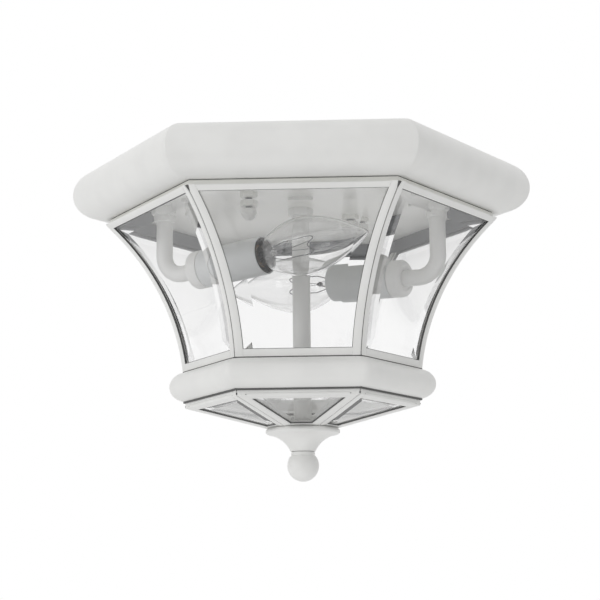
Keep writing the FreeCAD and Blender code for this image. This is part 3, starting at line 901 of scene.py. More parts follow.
@dataclass
class CeilingHardware:
    """Straps, studs, nuts and screws of the canopy, the rod and the arms."""

    stud_radius: float = 2.08
    stud_pitch: float = 0.79
    stud_groove: float = 0.22
    plain: tuple[str, ...] = ("strap_eyelet", "rod_washer", "socket_contacts")
    stamped: tuple[str, ...] = ("box_strap", "fixture_strap")
    turned: tuple[str, ...] = ("ground_screw", "acorn_nuts", "rod_nuts", "arm_collars", "arm_nuts")
    stamp_edge: float = 0.2
    turned_edge: float = 0.4
    stud_steps: int = 32

    def stud_outline(self, low: float, high: float) -> list[Point]:
        """Outline of a threaded stud, with a groove at every turn.

        Args:
            low: height of its lower end.
            high: height of its upper end.

        Returns:
            The outline as radius and height, with both ends on the axis.
        """
        root = self.stud_radius - self.stud_groove
        points = [(0.0, low)]
        z = low
        while z + self.stud_pitch < high:
            points += [(root, z), (self.stud_radius, z + self.stud_pitch / 2)]
            z += self.stud_pitch
        return points + [(root, high), (0.0, high)]

    def build(self, shop: Workshop) -> None:
        """Makes the straps, the studs and the small hardware.

        Args:
            shop: finishes the pieces.
        """
        for node in self.plain:
            shop.refined(node)
        for node in self.stamped:
            shop.refined(node, self.stamp_edge)
        for node in self.turned:
            shop.refined(node, self.turned_edge)
        # The nuts are white paint in the plate's lighter tone, which is painted light
        shop.refined("stud_nuts", self.turned_edge, slot="white_plate")
        low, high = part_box("canopy_studs")
        reach = Vector((high.x, high.y)) - Vector((self.stud_radius, self.stud_radius)) * MM
        outline = self.stud_outline(low.z / MM, high.z / MM)
        studs = [moved(spun(outline, self.stud_steps, closed=False),
                       Matrix.Translation((s * reach.x, s * reach.y, 0.0)))
                 for s in (-1, 1)]
        # The studs' dull grey is painted shade on the threads between the nuts
        shop.piece(merged(studs), "look_canopy_studs", ["canopy_studs"], slot="grey_steel")


@dataclass
class CentreRod:
    """Lamp pipe that carries the glass cage."""

    radius: float = 5.145
    bore: float = 3.4
    edge: float = 0.5
    steps: int = 64

    def build(self, shop: Workshop) -> None:
        """Makes the rod with rounded ends.

        Args:
            shop: finishes the piece.
        """
        low, high = (corner.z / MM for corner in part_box("centre_rod"))
        outline = [(self.bore, low), (self.radius, low), (self.radius, high), (self.bore, high)]
        shop.piece(spun(softened(outline, self.edge), self.steps), "look_centre_rod", ["centre_rod"])


# Candle lights

@dataclass
class CandleLight:
    """Bent arm with cup, sleeve and lamp holder, measured along the candle's axis."""

    light: Light
    frame: Matrix
    cup_setback: float = 21.5
    cup_depth: float = 8.0
    cup_edge: float = 3.0
    cup_wall: float = 1.2
    cup_recess_radius: float = 7.0
    cup_recess: float = 0.8
    arm_radius: float = 4.76
    arm_bore: float = 3.7
    sleeve_radius: float = 11.1
    sleeve_wall: float = 0.8
    sleeve_length: float = 39.8
    joint_line: float = 0.35
    socket_recess: float = 3.0
    socket_radius: float = 9.6
    collar_radius: float = 10.2
    socket_length: float = 29.0
    socket_bore_depth: float = 22.5
    neck_radius: float = 6.4
    thread_depth: float = 4.0
    shell_radius: float = 6.0
    shell_wall: float = 0.4
    collar_slope: float = 0.8
    collar_length: float = 1.2
    collar_proud: float = 0.3
    collar_lips: tuple[float, float] = (1.0, 1.6)
    shoulder_land: float = 0.2
    shoulder_steps: int = 10
    thin_edge: float = 0.3
    moulded_edge: float = 0.5
    arm_edge: float = 0.2
    steps: int = 72

    @property
    def mouth(self) -> float:
        """Run of the sleeve's open end."""
        return self.cup_setback + self.cup_depth + self.sleeve_length

    @property
    def rim(self) -> float:
        """Run of the lamp holder's front face."""
        return self.mouth - self.socket_recess

    def cup_outline(self) -> list[Point]:
        """Section of the cup: a recessed back, a rounded shoulder and a thin skirt.

        Returns:
            The closed section as radius and run.
        """
        back = self.cup_setback
        front = back + self.cup_depth
        recess = back + self.cup_recess
        floor = recess + self.cup_wall
        edge_r = self.sleeve_radius - self.cup_edge
        inside = self.sleeve_radius - self.cup_wall
        shoulder = back + self.cup_edge
        diagonal = self.cup_edge * math.sqrt(0.5)
        points = [(self.arm_radius, recess), (self.cup_recess_radius, recess),
                  (self.cup_recess_radius, back), (edge_r - self.shoulder_land, back)]
        points += arc_through(points[-1], (edge_r + diagonal, shoulder - diagonal),
                              (self.sleeve_radius, shoulder), self.shoulder_steps)
        points += [(self.sleeve_radius, front), (inside, front), (inside, shoulder + self.cup_wall),
                   (edge_r, floor), (self.arm_radius, floor)]
        return softened(points, self.thin_edge)

    def sleeve_outline(self) -> list[Point]:
        """Section of the candle sleeve, a thin tube.

        Returns:
            The closed section as radius and run.
        """
        low = self.cup_setback + self.cup_depth + self.joint_line
        inner = self.sleeve_radius - self.sleeve_wall
        tube = [(inner, low), (self.sleeve_radius, low), (self.sleeve_radius, self.mouth),
                (inner, self.mouth)]
        return softened(tube, self.thin_edge)

    def socket_outline(self) -> list[Point]:
        """Section of the lamp holder: a neck on the arm's end and a body with a bore.

        Returns:
            The closed section as radius and run.
        """
        neck_low = self.cup_setback + self.cup_recess + self.cup_wall
        neck_high = neck_low + self.thread_depth
        back = self.rim - self.socket_length
        floor = self.rim - self.socket_bore_depth
        bore = self.shell_radius + self.shell_wall
        collar_low = self.rim - self.collar_length
        collar_high = self.mouth - self.collar_proud
        narrow, deep = (self.collar_radius - lip for lip in self.collar_lips)
        points = [(self.arm_radius, neck_low), (self.neck_radius, neck_low), (self.neck_radius, back),
                  (self.socket_radius, back), (self.socket_radius, collar_low - self.collar_slope),
                  (self.collar_radius, collar_low), (self.collar_radius, collar_high),
                  (narrow, collar_high), (deep, self.rim), (bore, self.rim), (bore, floor),
                  (self.arm_bore, floor), (self.arm_bore, neck_high), (self.arm_radius, neck_high)]
        return softened(points, self.moulded_edge)

    def build(self, shop: Workshop) -> None:
        """Makes the cup, the sleeve, the lamp holder, the arm and its leads.

        Args:
            shop: finishes the pieces.
        """
        word = self.light.value
        for node, outline in (("socket_cup_", self.cup_outline()),
                              ("candle_sleeve_", self.sleeve_outline()),
                              ("socket_body_", self.socket_outline())):
            shop.piece(moved(spun(outline, self.steps), self.frame), "look_" + node + word, [node + word])
        shop.refined("arm_" + word, self.arm_edge)
        shop.refined("socket_leads_" + word)


@dataclass(frozen=True)
class RolledThread:
    """Round thread of a small screw base, shown as waves along the axis."""

    pitch: float = 2.54
    groove: float = 0.35

    def outline(self, crest: float, low: float, high: float, rows: int, start: float = 0.0) -> list[Point]:
        """Wavy line of the thread.

        Args:
            crest: radius of its crests.
            low: run of its first point.
            high: run of its last point.
            rows: number of stretches.
            start: distance under the last point at which a wave begins.

        Returns:
            The line as radius and run.
        """
        points = []
        for k in range(rows + 1):
            z = low + (high - low) * k / rows
            swell = 0.5 - 0.5 * math.cos(math.tau * (high - start - z) / self.pitch)
            points.append((crest - self.groove * (1 - swell), z))
        return points


@dataclass
class ScrewShells:
    """Rolled brass shells of the two lamp holders."""

    thread: RolledThread = RolledThread()
    length: float = 18.5
    radius: float = 6.0
    wall: float = 0.4
    rows: int = 48
    steps: int = 64

    def build(self, shop: Workshop, candles: Sequence[CandleLight]) -> None:
        """Makes both shells as one piece.

        Args:
            shop: finishes the piece.
            candles: the lights whose lamp holders carry the shells.
        """
        high = candles[0].rim
        low = high - self.length
        inner = self.thread.outline(self.radius, low, high, self.rows)
        outline = inner + [(self.radius + self.wall, high), (self.radius + self.wall, low)]
        shells = [moved(spun(outline, self.steps), candle.frame) for candle in candles]
        shop.piece(merged(shells), "look_socket_shells", ["socket_shells"])


@dataclass
class TorpedoBulb:
    """Clear torpedo bulb: blown glass, rolled screw base, glass stem and a filament on its wires.

    Pulls are the offsets of a curve's handles from the point that they belong to.
    """

    light: Light
    frame: Matrix
    thread: RolledThread = RolledThread()

    base_top: float = 66.6
    base_length: float = 17.0
    base_radius: float = 5.95
    base_wall: float = 0.35
    base_rows: int = 56
    base_steps: int = 64
    thread_start: float = 0.3

    tip_radius: float = 2.4
    tip_length: float = 3.4
    tip_flat: float = 0.7
    tip_edge: float = 0.5
    tip_pull: Point = (0.3, 1.6)
    tip_root_pull: Point = (0.4, 1.6)
    tip_rows: int = 8
    tip_steps: int = 48

    neck_radius: float = 5.4
    neck_pull: Point = (6.4, 9.0)
    widest_radius: float = 16.6
    widest_pulls: tuple[float, float] = (9.0, 12.0)
    rise: float = 28.0
    taper: float = 41.5
    nose_radius: float = 3.0
    nose_pulls: tuple[Point, Point] = ((7.9, 12.0), (1.15, 1.75))
    point_pull: float = 1.1
    skin_rows: tuple[int, int, int] = (24, 28, 8)
    wall: float = 0.6
    steps: int = 96

    stem_radius: float = 3.2
    stem_length: float = 14.0
    stem_head: float = 1.6
    stem_foot: float = 0.8
    stem_sunk: float = 4.0
    stem_dome: float = 0.6
    stem_rows: int = 40
    stem_steps: int = 60
    ripple: float = 0.10
    ripple_turn: float = 19.0
    press_start: float = 4.0
    press_flatness: float = 0.65
    flutes: int = 5
    flute_depth: float = 0.16
    flute_twist: float = 9000.0
    bead_radius: float = 1.15
    bead_shape: tuple[float, float, float] = (1.0, 0.8, 2.0)
    bead_depth: float = 1.0

    wire_radius: float = 0.25
    support_share: float = 0.6
    support_bend: float = 0.55
    support_bow: float = 0.6
    coil_radius: float = 0.26
    coil_rows: int = 8
    lead_foot: float = 3.0
    lead_length: float = 21.0
    lead_knots: tuple[Point, ...] = ((1.0, 0.0), (2.4, 2.5), (5.088, 12.0))
    coil_knots: tuple[Point, ...] = (
        (-5.0, 9.5), (-5.3, 5.5), (-4.7, 0.8), (-3.286, 0.6), (-1.59, 3.2), (0.0, 3.9),
        (1.59, 2.6), (3.286, 0.5), (4.7, 1.6), (5.3, 5.0), (5.0, 9.0),
    )
    supported_points: tuple[int, ...] = (28, 52)

    def skin(self) -> list[Point]:
        """Outer outline of the glass.

        Returns:
            The outline as radius and run, from the tip to the neck.
        """
        neck = (self.neck_radius, self.base_top)
        wide, waist = self.widest_radius, self.base_top + self.rise
        tip_z = waist + self.taper
        nose = (self.nose_radius, tip_z - self.nose_radius)
        before, after = self.widest_pulls
        (slant_r, slant_z), (round_r, round_z) = self.nose_pulls
        low_rows, high_rows, nose_rows = self.skin_rows
        points = [neck]
        points += bezier(neck, (neck[0] + self.neck_pull[0], neck[1] + self.neck_pull[1]),
                         (wide, waist - before), (wide, waist), low_rows)
        points += bezier((wide, waist), (wide, waist + after), (nose[0] + slant_r, nose[1] - slant_z),
                         nose, high_rows)
        points += bezier(nose, (nose[0] - round_r, nose[1] + round_z), (self.point_pull, tip_z),
                         (0.0, tip_z), nose_rows)
        return points[::-1]

    def glass(self) -> bmesh.types.BMesh:
        """Blown glass with an even wall, open towards the base.

        Returns:
            The mesh about +Z.
        """
        outer = self.skin()
        inner = drawn_in(outer, self.wall)
        inner[0] = (0.0, outer[0][1] - self.wall)
        inner[-1] = (self.neck_radius - self.wall, self.base_top)
        return spun(outer + inner[::-1], self.steps, closed=False)

    @property
    def base_low(self) -> float:
        """Run of the base's lower end."""
        return self.base_top - self.base_length

    @property
    def base_inner(self) -> float:
        """Radius inside the base."""
        return self.base_radius - self.thread.groove - self.base_wall

    def base(self) -> bmesh.types.BMesh:
        """Rolled screw shell of the base, a thin cup.

        Returns:
            The mesh about +Z.
        """
        floor = self.base_low + self.base_wall
        outer = self.thread.outline(self.base_radius, self.base_low, self.base_top, self.base_rows,
                                    self.thread_start)
        inner = [(self.base_inner, self.base_top), (self.base_inner, floor), (0.0, floor)]
        return spun([(0.0, self.base_low)] + outer + inner, self.base_steps, closed=False)

    def tip(self) -> bmesh.types.BMesh:
        """Black insulator under the base, with the solder drop of the centre contact.

        Returns:
            The mesh about +Z.
        """
        top, wide = self.base_low, self.base_inner
        low = top - self.tip_length
        points = [(0.0, low), (self.tip_radius * self.tip_flat, low),
                  (self.tip_radius, low + self.tip_edge)]
        points += bezier(points[-1], (self.tip_radius + self.tip_pull[0], low + self.tip_pull[1]),
                         (wide - self.tip_root_pull[0], top - self.tip_root_pull[1]), (wide, top),
                         self.tip_rows)
        return spun(points + [(0.0, top)], self.tip_steps, closed=False)

    def stem(self) -> bmesh.types.BMesh:
        """Glass stem: a round foot in the neck and a fluted, flattened press that holds the wires.

        Returns:
            The mesh about +Z.
        """
        low = self.base_low + self.base_wall
        top = self.base_top + self.stem_length
        first, last = self.base_top - self.stem_sunk, top - self.stem_dome
        points = [(0.0, low), (self.stem_radius * self.stem_foot, low)]
        for k in range(self.stem_rows + 1):
            share = k / self.stem_rows
            taper = self.stem_radius + (self.stem_head - self.stem_radius) * share
            swell = 1 + self.ripple * math.sin(share * self.ripple_turn)
            points.append((taper * swell, first + (last - first) * share))
        bm = spun(points + [(0.0, top)], self.stem_steps, closed=False)
        for vert in bm.verts:
            share = min(max((vert.co.z / MM - self.base_top) / self.press_start, 0.0), 1.0)
            angle = self.flutes * math.atan2(vert.co.y, vert.co.x) + self.flute_twist * vert.co.z * share
            flute = 1 - self.flute_depth * share * (0.5 + 0.5 * math.cos(angle))
            vert.co.x *= flute
            vert.co.y *= flute * (1 - share * (1 - self.press_flatness))
        return bm

    def filament_line(self) -> list[Vector]:
        """Line of the coiled filament: out, across in waves over its supports, and back.

        Returns:
            Points in metres on a smooth curve through the knots.
        """
        head = self.base_top + self.stem_length + self.lead_length
        knots = [Vector((across, head - drop)) for across, drop in self.coil_knots]
        points = []
        for k in range(len(knots) - 1):
            before, here = knots[max(k - 1, 0)], knots[k]
            after, later = knots[k + 1], knots[min(k + 2, len(knots) - 1)]
            for step in range(self.coil_rows):
                t = step / self.coil_rows
                flat = 0.5 * (2 * here + (after - before) * t
                              + (2 * before - 5 * here + 4 * after - later) * t * t
                              + (3 * here - before - 3 * after + later) * t * t * t)
                points.append(Vector((flat.x, 0.0, flat.y)) * MM)
        return points + [Vector((knots[-1].x, 0.0, knots[-1].y)) * MM]

    def filament(self) -> bmesh.types.BMesh:
        """Lead wires that spread from the stem, the filament between them and the bead on the press.

        Returns:
            The mesh about +Z.
        """
        foot = self.base_top + self.lead_foot
        line = self.filament_line()
        bm = bmesh.new()
        for side, end in ((-1, line[0]), (1, line[-1])):
            points = [Vector((side * across, 0, foot + up)) * MM for across, up in self.lead_knots]
            add_wire(bm, points + [end], self.wire_radius * MM)
        add_wire(bm, line, self.coil_radius * MM)
        middle = Vector((0, 0, self.base_top + self.stem_length - self.bead_depth)) * MM
        bow = Vector((0, self.support_bow, 0)) * MM
        for end in (line[k] for k in self.supported_points):
            bend = middle.lerp(end, self.support_bend) + bow
            add_wire(bm, [middle, bend, end], self.wire_radius * self.support_share * MM)
        bead = Matrix.Translation(middle) @ Matrix.Diagonal((*self.bead_shape, 1.0))
        bmesh.ops.create_uvsphere(bm, u_segments=24, v_segments=16, radius=self.bead_radius * MM,
                                  matrix=bead)
        return bm

    def build(self, shop: Workshop) -> None:
        """Makes the bulb's glass, base, contact, stem and filament.

        Args:
            shop: finishes the pieces.
        """
        word = self.light.value
        for look, node, mesh, slot in (
                ("glass", "bulb_glass_", self.glass(), None),
                ("base", "bulb_base_", self.base(), None),
                ("tip", "bulb_base_", self.tip(), "socket_phenolic"),
                ("stem", "bulb_stem_", self.stem(), None),
                ("filament", "bulb_filament_", self.filament(), None)):
            shop.piece(moved(mesh, self.frame), "look_bulb_" + look + "_" + word, [node + word], slot=slot)


# Framed panes

@dataclass(frozen=True)
class Bend:
    """Outer surface of an upper pane: part of a cylinder about a level line outside the cage.

    A share is the height that a millimetre along the pane takes up at that end.
    """

    low: float
    high: float
    low_apothem: float
    high_apothem: float
    radius: float
    low_share: float = 1.0

    def centre(self) -> Point:
        """Place of the cylinder's axis.

        Returns:
            Its apothem and height.
        """
        top = Vector((self.high_apothem, self.high))
        bottom = Vector((self.low_apothem, self.low))
        along = (top - bottom).normalized()
        outward = Vector((along.y, -along.x))
        half = (top - bottom).length / 2
        return tuple((top + bottom) / 2 + outward * math.sqrt(self.radius ** 2 - half ** 2))

    @property
    def top_share(self) -> float:
        """Share at the flared top."""
        return (self.centre()[0] - self.high_apothem) / self.radius

    def at(self, run: float, depth: float) -> Point:
        """Apothem and height at a height along the pane and a depth under its outer surface."""
        cx, cz = self.centre()
        return cx - math.sqrt((self.radius + depth) ** 2 - (run - cz) ** 2), run


@dataclass(frozen=True)
class Slope:
    """Outer surface of a lower pane: a flat slope, along which a place is given by its apothem.

    A share is the apothem that a millimetre along the pane takes up at that end. The low one is
    less than the true share, which keeps the lowest cross channel narrow.
    """

    low: float
    high: float
    low_z: float
    high_z: float
    top_share: float = 1.0
    low_share: float = 0.45

    def at(self, run: float, depth: float) -> Point:
        """Apothem and height at an apothem along the slope and a depth under its top."""
        share = (run - self.low) / (self.high - self.low)
        return run, self.low_z + (self.high_z - self.low_z) * share - depth


@dataclass(frozen=True)
class FramedPane:
    """One pane in four channels, about +X: two side channels with two cross channels between.

    Distances across run inwards from a channel's outer edge, and depths from the frame's outer
    face into the cage.
    """

    surface: Any
    rows: int
    sheet: float
    face: float = 4.4
    depth: float = 3.6
    seam: float = 0.5
    bite: float = 2.2
    clearance: float = 0.1
    edge: float = 0.45
    crown: float = 0.22
    side_play: float = 0.9
    notch: float = 0.0
    lip_lift: float = 0.0
    seam_depth: float = 0.7
    # The black strip along the glass edges is painted shade; these give its width, hidden share and sink
    painted_shade_width: float = 0.28
    painted_shade_hidden: float = 0.4
    bevel_width: float = 9.0
    bevel_depth: float = 1.1
    outer_is_deep: bool = False
    face_round: float = 0.5
    face_round_drop: float = 0.3
    inner_softness: float = 0.5
    painted_shade_sink: float = 0.04
    seam_lap: float = 0.05
    seam_hold: float = 0.3
    seam_thickness: float = 0.8

    def point(self, run: float, depth: float) -> Point:
        """Apothem and height at a run and a depth under the frame's outer face."""
        return self.surface.at(run, self.depth - depth if self.outer_is_deep else depth)

    def half_width(self, run: float, depth: float, across: float) -> float:
        """Half the width at a distance across; only the outer edge follows the mitre plane.

        Args:
            run: place along the pane.
            depth: depth of the point.
            across: its distance from the outer edge.

        Returns:
            Distance of the point from the pane's middle.
        """
        mitred = max(1 - across / self.face, 0.0)
        apothem = self.point(run, depth * mitred)[0]
        return apothem * TAN_HALF - (self.seam / 2 + across) / COS_HALF

    def place(self, run: float, depth: float, across: float) -> Vector:
        """Point in metres at a run, a depth and a distance across."""
        apothem, height = self.point(run, depth)
        return Vector((apothem, across, height)) * MM

    @property
    def lip(self) -> float:
        """Thickness of a channel's lips."""
        return (self.depth - self.sheet) / 2 - self.clearance

    @property
    def floor(self) -> float:
        """Distance of the slot's floor from the channel's outer edge."""
        return self.face - self.bite - self.clearance

    def outer_half(self) -> list[Point]:
        """Section of a channel's painted outer half, with a crowned face.

        Returns:
            The closed section as distance across and depth.
        """
        middle = self.depth / 2
        drop = self.crown * self.face_round_drop
        points = [(0.0, self.crown), (self.face_round, drop), (self.face / 2, 0.0),
                  (self.face - self.face_round, drop), (self.face, self.crown),
                  (self.face, self.lip), (self.floor, self.lip), (self.floor, middle), (0.0, middle)]
        return softened(points, self.edge)

    def inner_half(self) -> list[Point]:
        """Section of a channel's inner half, which faces into the cage.

        Returns:
            The closed section as distance across and depth.
        """
        middle, low = self.depth / 2, self.depth - self.lip
        points = [(0.0, middle), (self.floor, middle), (self.floor, low), (self.face, low),
                  (self.face, self.depth), (0.0, self.depth)]
        return softened(points, self.edge * self.inner_softness)

    def plug(self) -> list[Point]:
        """Section that closes a side channel's slot at its ends.

        Returns:
            The closed section as distance across and depth.
        """
        low = self.depth - self.lip
        return [(self.floor, self.lip), (self.face, self.lip), (self.face, low), (self.floor, low)]

    @property
    def margin(self) -> float:
        """Depth of the glass's flat outer face."""
        return (self.depth - self.sheet) / 2

    def painted_shade_line(self) -> list[Point]:
        """Section of the black strip of painted shade between a channel's outer lip and the bevelled glass.

        Returns:
            The closed section as distance across and depth.
        """
        start, end = self.face - self.painted_shade_hidden, self.face + self.painted_shade_width
        glass = self.margin + self.bevel_depth * (1 - self.bite / self.bevel_width)
        sunk = glass - self.painted_shade_sink
        return [(start, self.lip), (end, self.lip), (end, sunk), (start, sunk)]

    def seam_painted_shade(self) -> list[Point]:
        """Section of the black strip of painted shade that closes the seam between two neighbouring frames.

        Returns:
            The closed section as distance across and depth.
        """
        reach = self.seam / 2 + self.seam_lap
        top, low = self.seam_depth, self.seam_depth + self.seam_thickness
        return [(-reach, top), (self.seam_hold, top), (self.seam_hold, low), (-reach, low)]

    def side_bar(self, section: Sequence[Point], first: float, last: float, side: int) -> bmesh.types.BMesh:
        """Bar along one slanting side of the pane.

        Args:
            section: its section as distance across and depth.
            first: run of its lower end.
            last: run of its upper end.
            side: 1 or -1, for the side of the pane.

        Returns:
            The bar, whose top row stands in by the notch where it ends at the pane's top.
        """
        bar = prism(section, self.rows)
        for vert in bar.verts:
            across, depth, share = vert.co
            if share > FAR_END and last == self.surface.high and across >= 0:
                across = max(across, self.notch)
            run = first + (last - first) * share
            vert.co = self.place(run, depth, side * self.half_width(run, depth, across))
        return bar

    def cross_bar(self, section: Sequence[Point], end: float, step: float) -> bmesh.types.BMesh:
        """Bar across the pane at one end.

        Args:
            section: its section as distance across and depth.
            end: run of its outer edge.
            step: run that a millimetre inwards takes up, below 0 at the top.

        Returns:
            The bar, whose inner lip stands higher than the outer one by the lip's lift at the top.
        """
        bar = prism(section)
        for vert in bar.verts:
            inward, depth, share = vert.co
            run = end + step * inward
            half = self.half_width(run, depth, self.face)
            if step < 0:
                run += self.lip_lift * inward / self.face * depth / self.depth
            vert.co = self.place(run, depth, half * (2 * share - 1))
        return bar

    def bars(self, section: Sequence[Point], sides: bool = True, crosses: bool = True,
             plugged: bool = False) -> bmesh.types.BMesh:
        """Bars round the pane, each a closed body.

        Args:
            section: their section as distance across and depth.
            sides: whether the two slanting sides get one.
            crosses: whether the two ends get one.
            plugged: whether the slots of the side bars are closed at their ends.

        Returns:
            The bars as one mesh.
        """
        low, high = self.surface.low, self.surface.high
        ends = ((low, self.surface.low_share), (high, -self.surface.top_share))
        made = []
        if sides:
            made += [self.side_bar(section, low, high, side) for side in (-1, 1)]
        if crosses:
            made += [self.cross_bar(section, end, step) for end, step in ends]
        if plugged:
            inside = self.face - self.bite - 2 * self.clearance
            made += [self.side_bar(self.plug(), end, end + step * inside, side)
                     for end, step in ends for side in (-1, 1)]
        whole = merged(made)
        bmesh.ops.recalc_face_normals(whole, faces=whole.faces)
        return whole

    def layers(self, lining: str) -> dict[str, tuple[bmesh.types.BMesh, str]]:
        """Everything round the glass, sorted by its material slot. The black strips at the glass edges and
        along the seams are painted shade.

        Args:
            lining: slot of the cross channels' inner halves, whose grey_steel is painted shade.

        Returns:
            Meshes and slots by the last words of the pieces' names.
        """
        painted = [self.bars(self.outer_half(), plugged=True), self.bars(self.inner_half(), crosses=False)]
        painted_shade_strips = [self.bars(self.painted_shade_line()), self.bars(self.seam_painted_shade(), crosses=False)]
        return {
            "frame": (merged(painted), "white_enamel"),
            "frame_lining": (self.bars(self.inner_half(), sides=False), lining),
            # Black strips of painted shade at the glass edges and along the seams
            "frame_seal": (merged(painted_shade_strips), "black_vinyl"),
        }

    def pane(self) -> bmesh.types.BMesh:
        """The glass, with a wide bevel along all its edges on its outer face.

        Returns:
            The mesh, of two skins that join at the edges.
        """
        hidden = self.face - self.bite
        low_share, top_share = self.surface.low_share, self.surface.top_share
        first, last = self.surface.low + hidden * low_share, self.surface.high - hidden * top_share
        flat_low, flat_high = first + self.bevel_width * low_share, last - self.bevel_width * top_share
        runs = [flat_low + (flat_high - flat_low) * k / self.rows for k in range(self.rows + 1)]
        runs = [first] + runs + [last]
        insets = (0.0, self.bevel_width, None, self.bevel_width, 0.0)
        columns, rows = len(insets) - 1, len(runs) - 1
        bm = bmesh.new()
        bmesh.ops.create_grid(bm, x_segments=columns, y_segments=rows, size=1.0)

        def cell(vert: bmesh.types.BMVert) -> tuple[int, int]:
            """Column and row of a grid point."""
            return round((vert.co.x + 1) / 2 * columns), round((vert.co.y + 1) / 2 * rows)

        outer = {vert: cell(vert) for vert in bm.verts}
        grown = bmesh.ops.extrude_face_region(bm, geom=bm.faces[:])
        inner = {g: cell(g) for g in grown["geom"] if isinstance(g, bmesh.types.BMVert)}
        outer = {vert: key for vert, key in outer.items() if vert not in inner}
        for skin, is_outer in ((outer, True), (inner, False)):
            for vert, (column, row) in skin.items():
                border = column in (0, columns) or row in (0, rows)
                depth = self.margin + (self.bevel_depth if border else 0.0)
                if not is_outer:
                    depth = self.depth - self.margin
                across, inset = 0.0, insets[column]
                if inset is not None:
                    across = self.half_width(runs[row], 0.0, hidden + inset) - self.side_play
                side = 1 if column > columns / 2 else -1
                vert.co = self.place(runs[row], depth, side * across)
        at = {key: vert for vert, key in outer.items()}
        for column, next_column in ((0, 1), (columns, columns - 1)):
            for row, next_row in ((0, 1), (rows, rows - 1)):
                bmesh.ops.connect_vert_pair(bm, verts=[at[(column, row)], at[(next_column, next_row)]])
        bmesh.ops.recalc_face_normals(bm, faces=bm.faces)
        return bm


@dataclass
class GlassCage:
    """Six bent panes in their frames, the angle ring on top and the half-round band below."""

    upper: FramedPane = FramedPane(
        Bend(low=-120.1, high=-32.7, low_apothem=60.0, high_apothem=99.4, radius=150.0),
        rows=26, sheet=2.6, face=4.1, notch=1.1, lip_lift=1.2)
    ring_inner: float = 94.0
    ring_outer: float = 95.0
    ring_low: float = -32.7
    ring_high: float = -24.9
    strip_outer: float = 96.8
    strip_high: float = -29.7
    band_apothem: float = 58.7
    band_radius: float = 8.4
    band_sheet: float = 1.2
    band_flange: float = 5.5
    band_top: float = -120.6
    band_mitre: float = 3.0
    roll_steps: int = 20
    # The flat black rings above and below the band are painted shade
    painted_shade_outer: float = 59.7
    painted_shade_step: float = 0.3
    painted_shade_width: float = 2.6
    painted_shade_height: float = 0.9
    pane_crease: float = 5.0
    ring_mitre: float = 0.3
    strip_edge: float = 0.5
    painted_shade_mitre: float = 0.2
    band_mitre_steps: int = 6

    @property
    def band_low(self) -> float:
        """Height of the band's lower face."""
        return self.band_top - 2 * self.band_radius

    def band_outline(self) -> list[Point]:
        """Section of the band: a half-round with flanges turned inwards.

        Returns:
            The closed section as apothem and height.
        """
        low = self.band_low
        outer = self.band_apothem + self.band_radius
        middle = (self.band_top + low) / 2
        inner = self.band_apothem - self.band_flange
        points = [(inner, self.band_top), (self.band_apothem, self.band_top)]
        points += arc_through(points[-1], (outer, middle), (self.band_apothem, low), self.roll_steps)
        points += [(inner, low), (inner, low + self.band_sheet), (self.band_apothem, low + self.band_sheet)]
        points += arc_through(points[-1], (outer - self.band_sheet, middle),
                              (self.band_apothem, self.band_top - self.band_sheet), self.roll_steps)
        return points + [(inner, self.band_top - self.band_sheet)]

    def ring_parts(self) -> list[tuple[str, str, list[Point]]]:
        """Ring's wall, whose dull grey is painted shade, and the pale strip outside it.

        Returns:
            Name, slot and closed section of each.
        """
        inner, outer, low = self.ring_inner, self.ring_outer, self.ring_low
        wall = [(inner, low), (outer, low), (outer, self.ring_high), (inner, self.ring_high)]
        strip = [(outer, low), (self.strip_outer, low), (self.strip_outer, self.strip_high),
                 (outer, self.strip_high)]
        # The wall's grey is painted shade inside the cage under the canopy
        return [("look_ring_wall", "grey_steel", wall),
                ("look_ring_strip", "white_plate", softened(strip, self.strip_edge))]

    def painted_shade_outline(self, low: float, outer: float) -> list[Point]:
        """Section of a flat black ring of painted shade between the band and the frames.

        Args:
            low: height of its lower face.
            outer: apothem of its outer edge.

        Returns:
            The closed section as apothem and height.
        """
        inner, high = outer - self.painted_shade_width, low + self.painted_shade_height
        return [(inner, low), (outer, low), (outer, high), (inner, high)]

    def build(self, shop: Workshop) -> None:
        """Makes the frames, the panes, the ring, the band and the band's black rings of painted shade.

        Args:
            shop: finishes the pieces.
        """
        # The upper cross channels' grey inner halves are painted shade under the canopy
        layers, pane = self.upper.layers("grey_steel"), self.upper.pane()
        for side in Side:
            for name, (mesh, slot) in layers.items():
                shop.piece(copied(mesh, side.turn), "look_upper_" + name + "_" + side.word,
                           ["upper_frame_" + side.word], slot=slot)
            shop.piece(copied(pane, side.turn), "look_upper_glass_" + side.word,
                       ["upper_glass_" + side.word], self.pane_crease)
        for mesh, _ in layers.values():
            mesh.free()
        pane.free()
        for name, slot, outline in self.ring_parts():
            shop.piece(hexagon_ring(outline, self.ring_mitre), name, ["cage_top_ring"], slot=slot)
        shop.piece(hexagon_ring(self.band_outline(), self.band_mitre, self.band_mitre_steps),
                   "look_cage_band", ["cage_band"])
        # Black rings of painted shade above and below the band
        places = ((self.band_top, self.painted_shade_outer),
                  (self.band_low - self.painted_shade_height, self.painted_shade_outer - self.painted_shade_step))
        painted_shade_rings = [hexagon_ring(self.painted_shade_outline(low, outer), self.painted_shade_mitre) for low, outer in places]
        shop.piece(merged(painted_shade_rings), "look_band_seals", ["cage_band"], slot="black_vinyl")


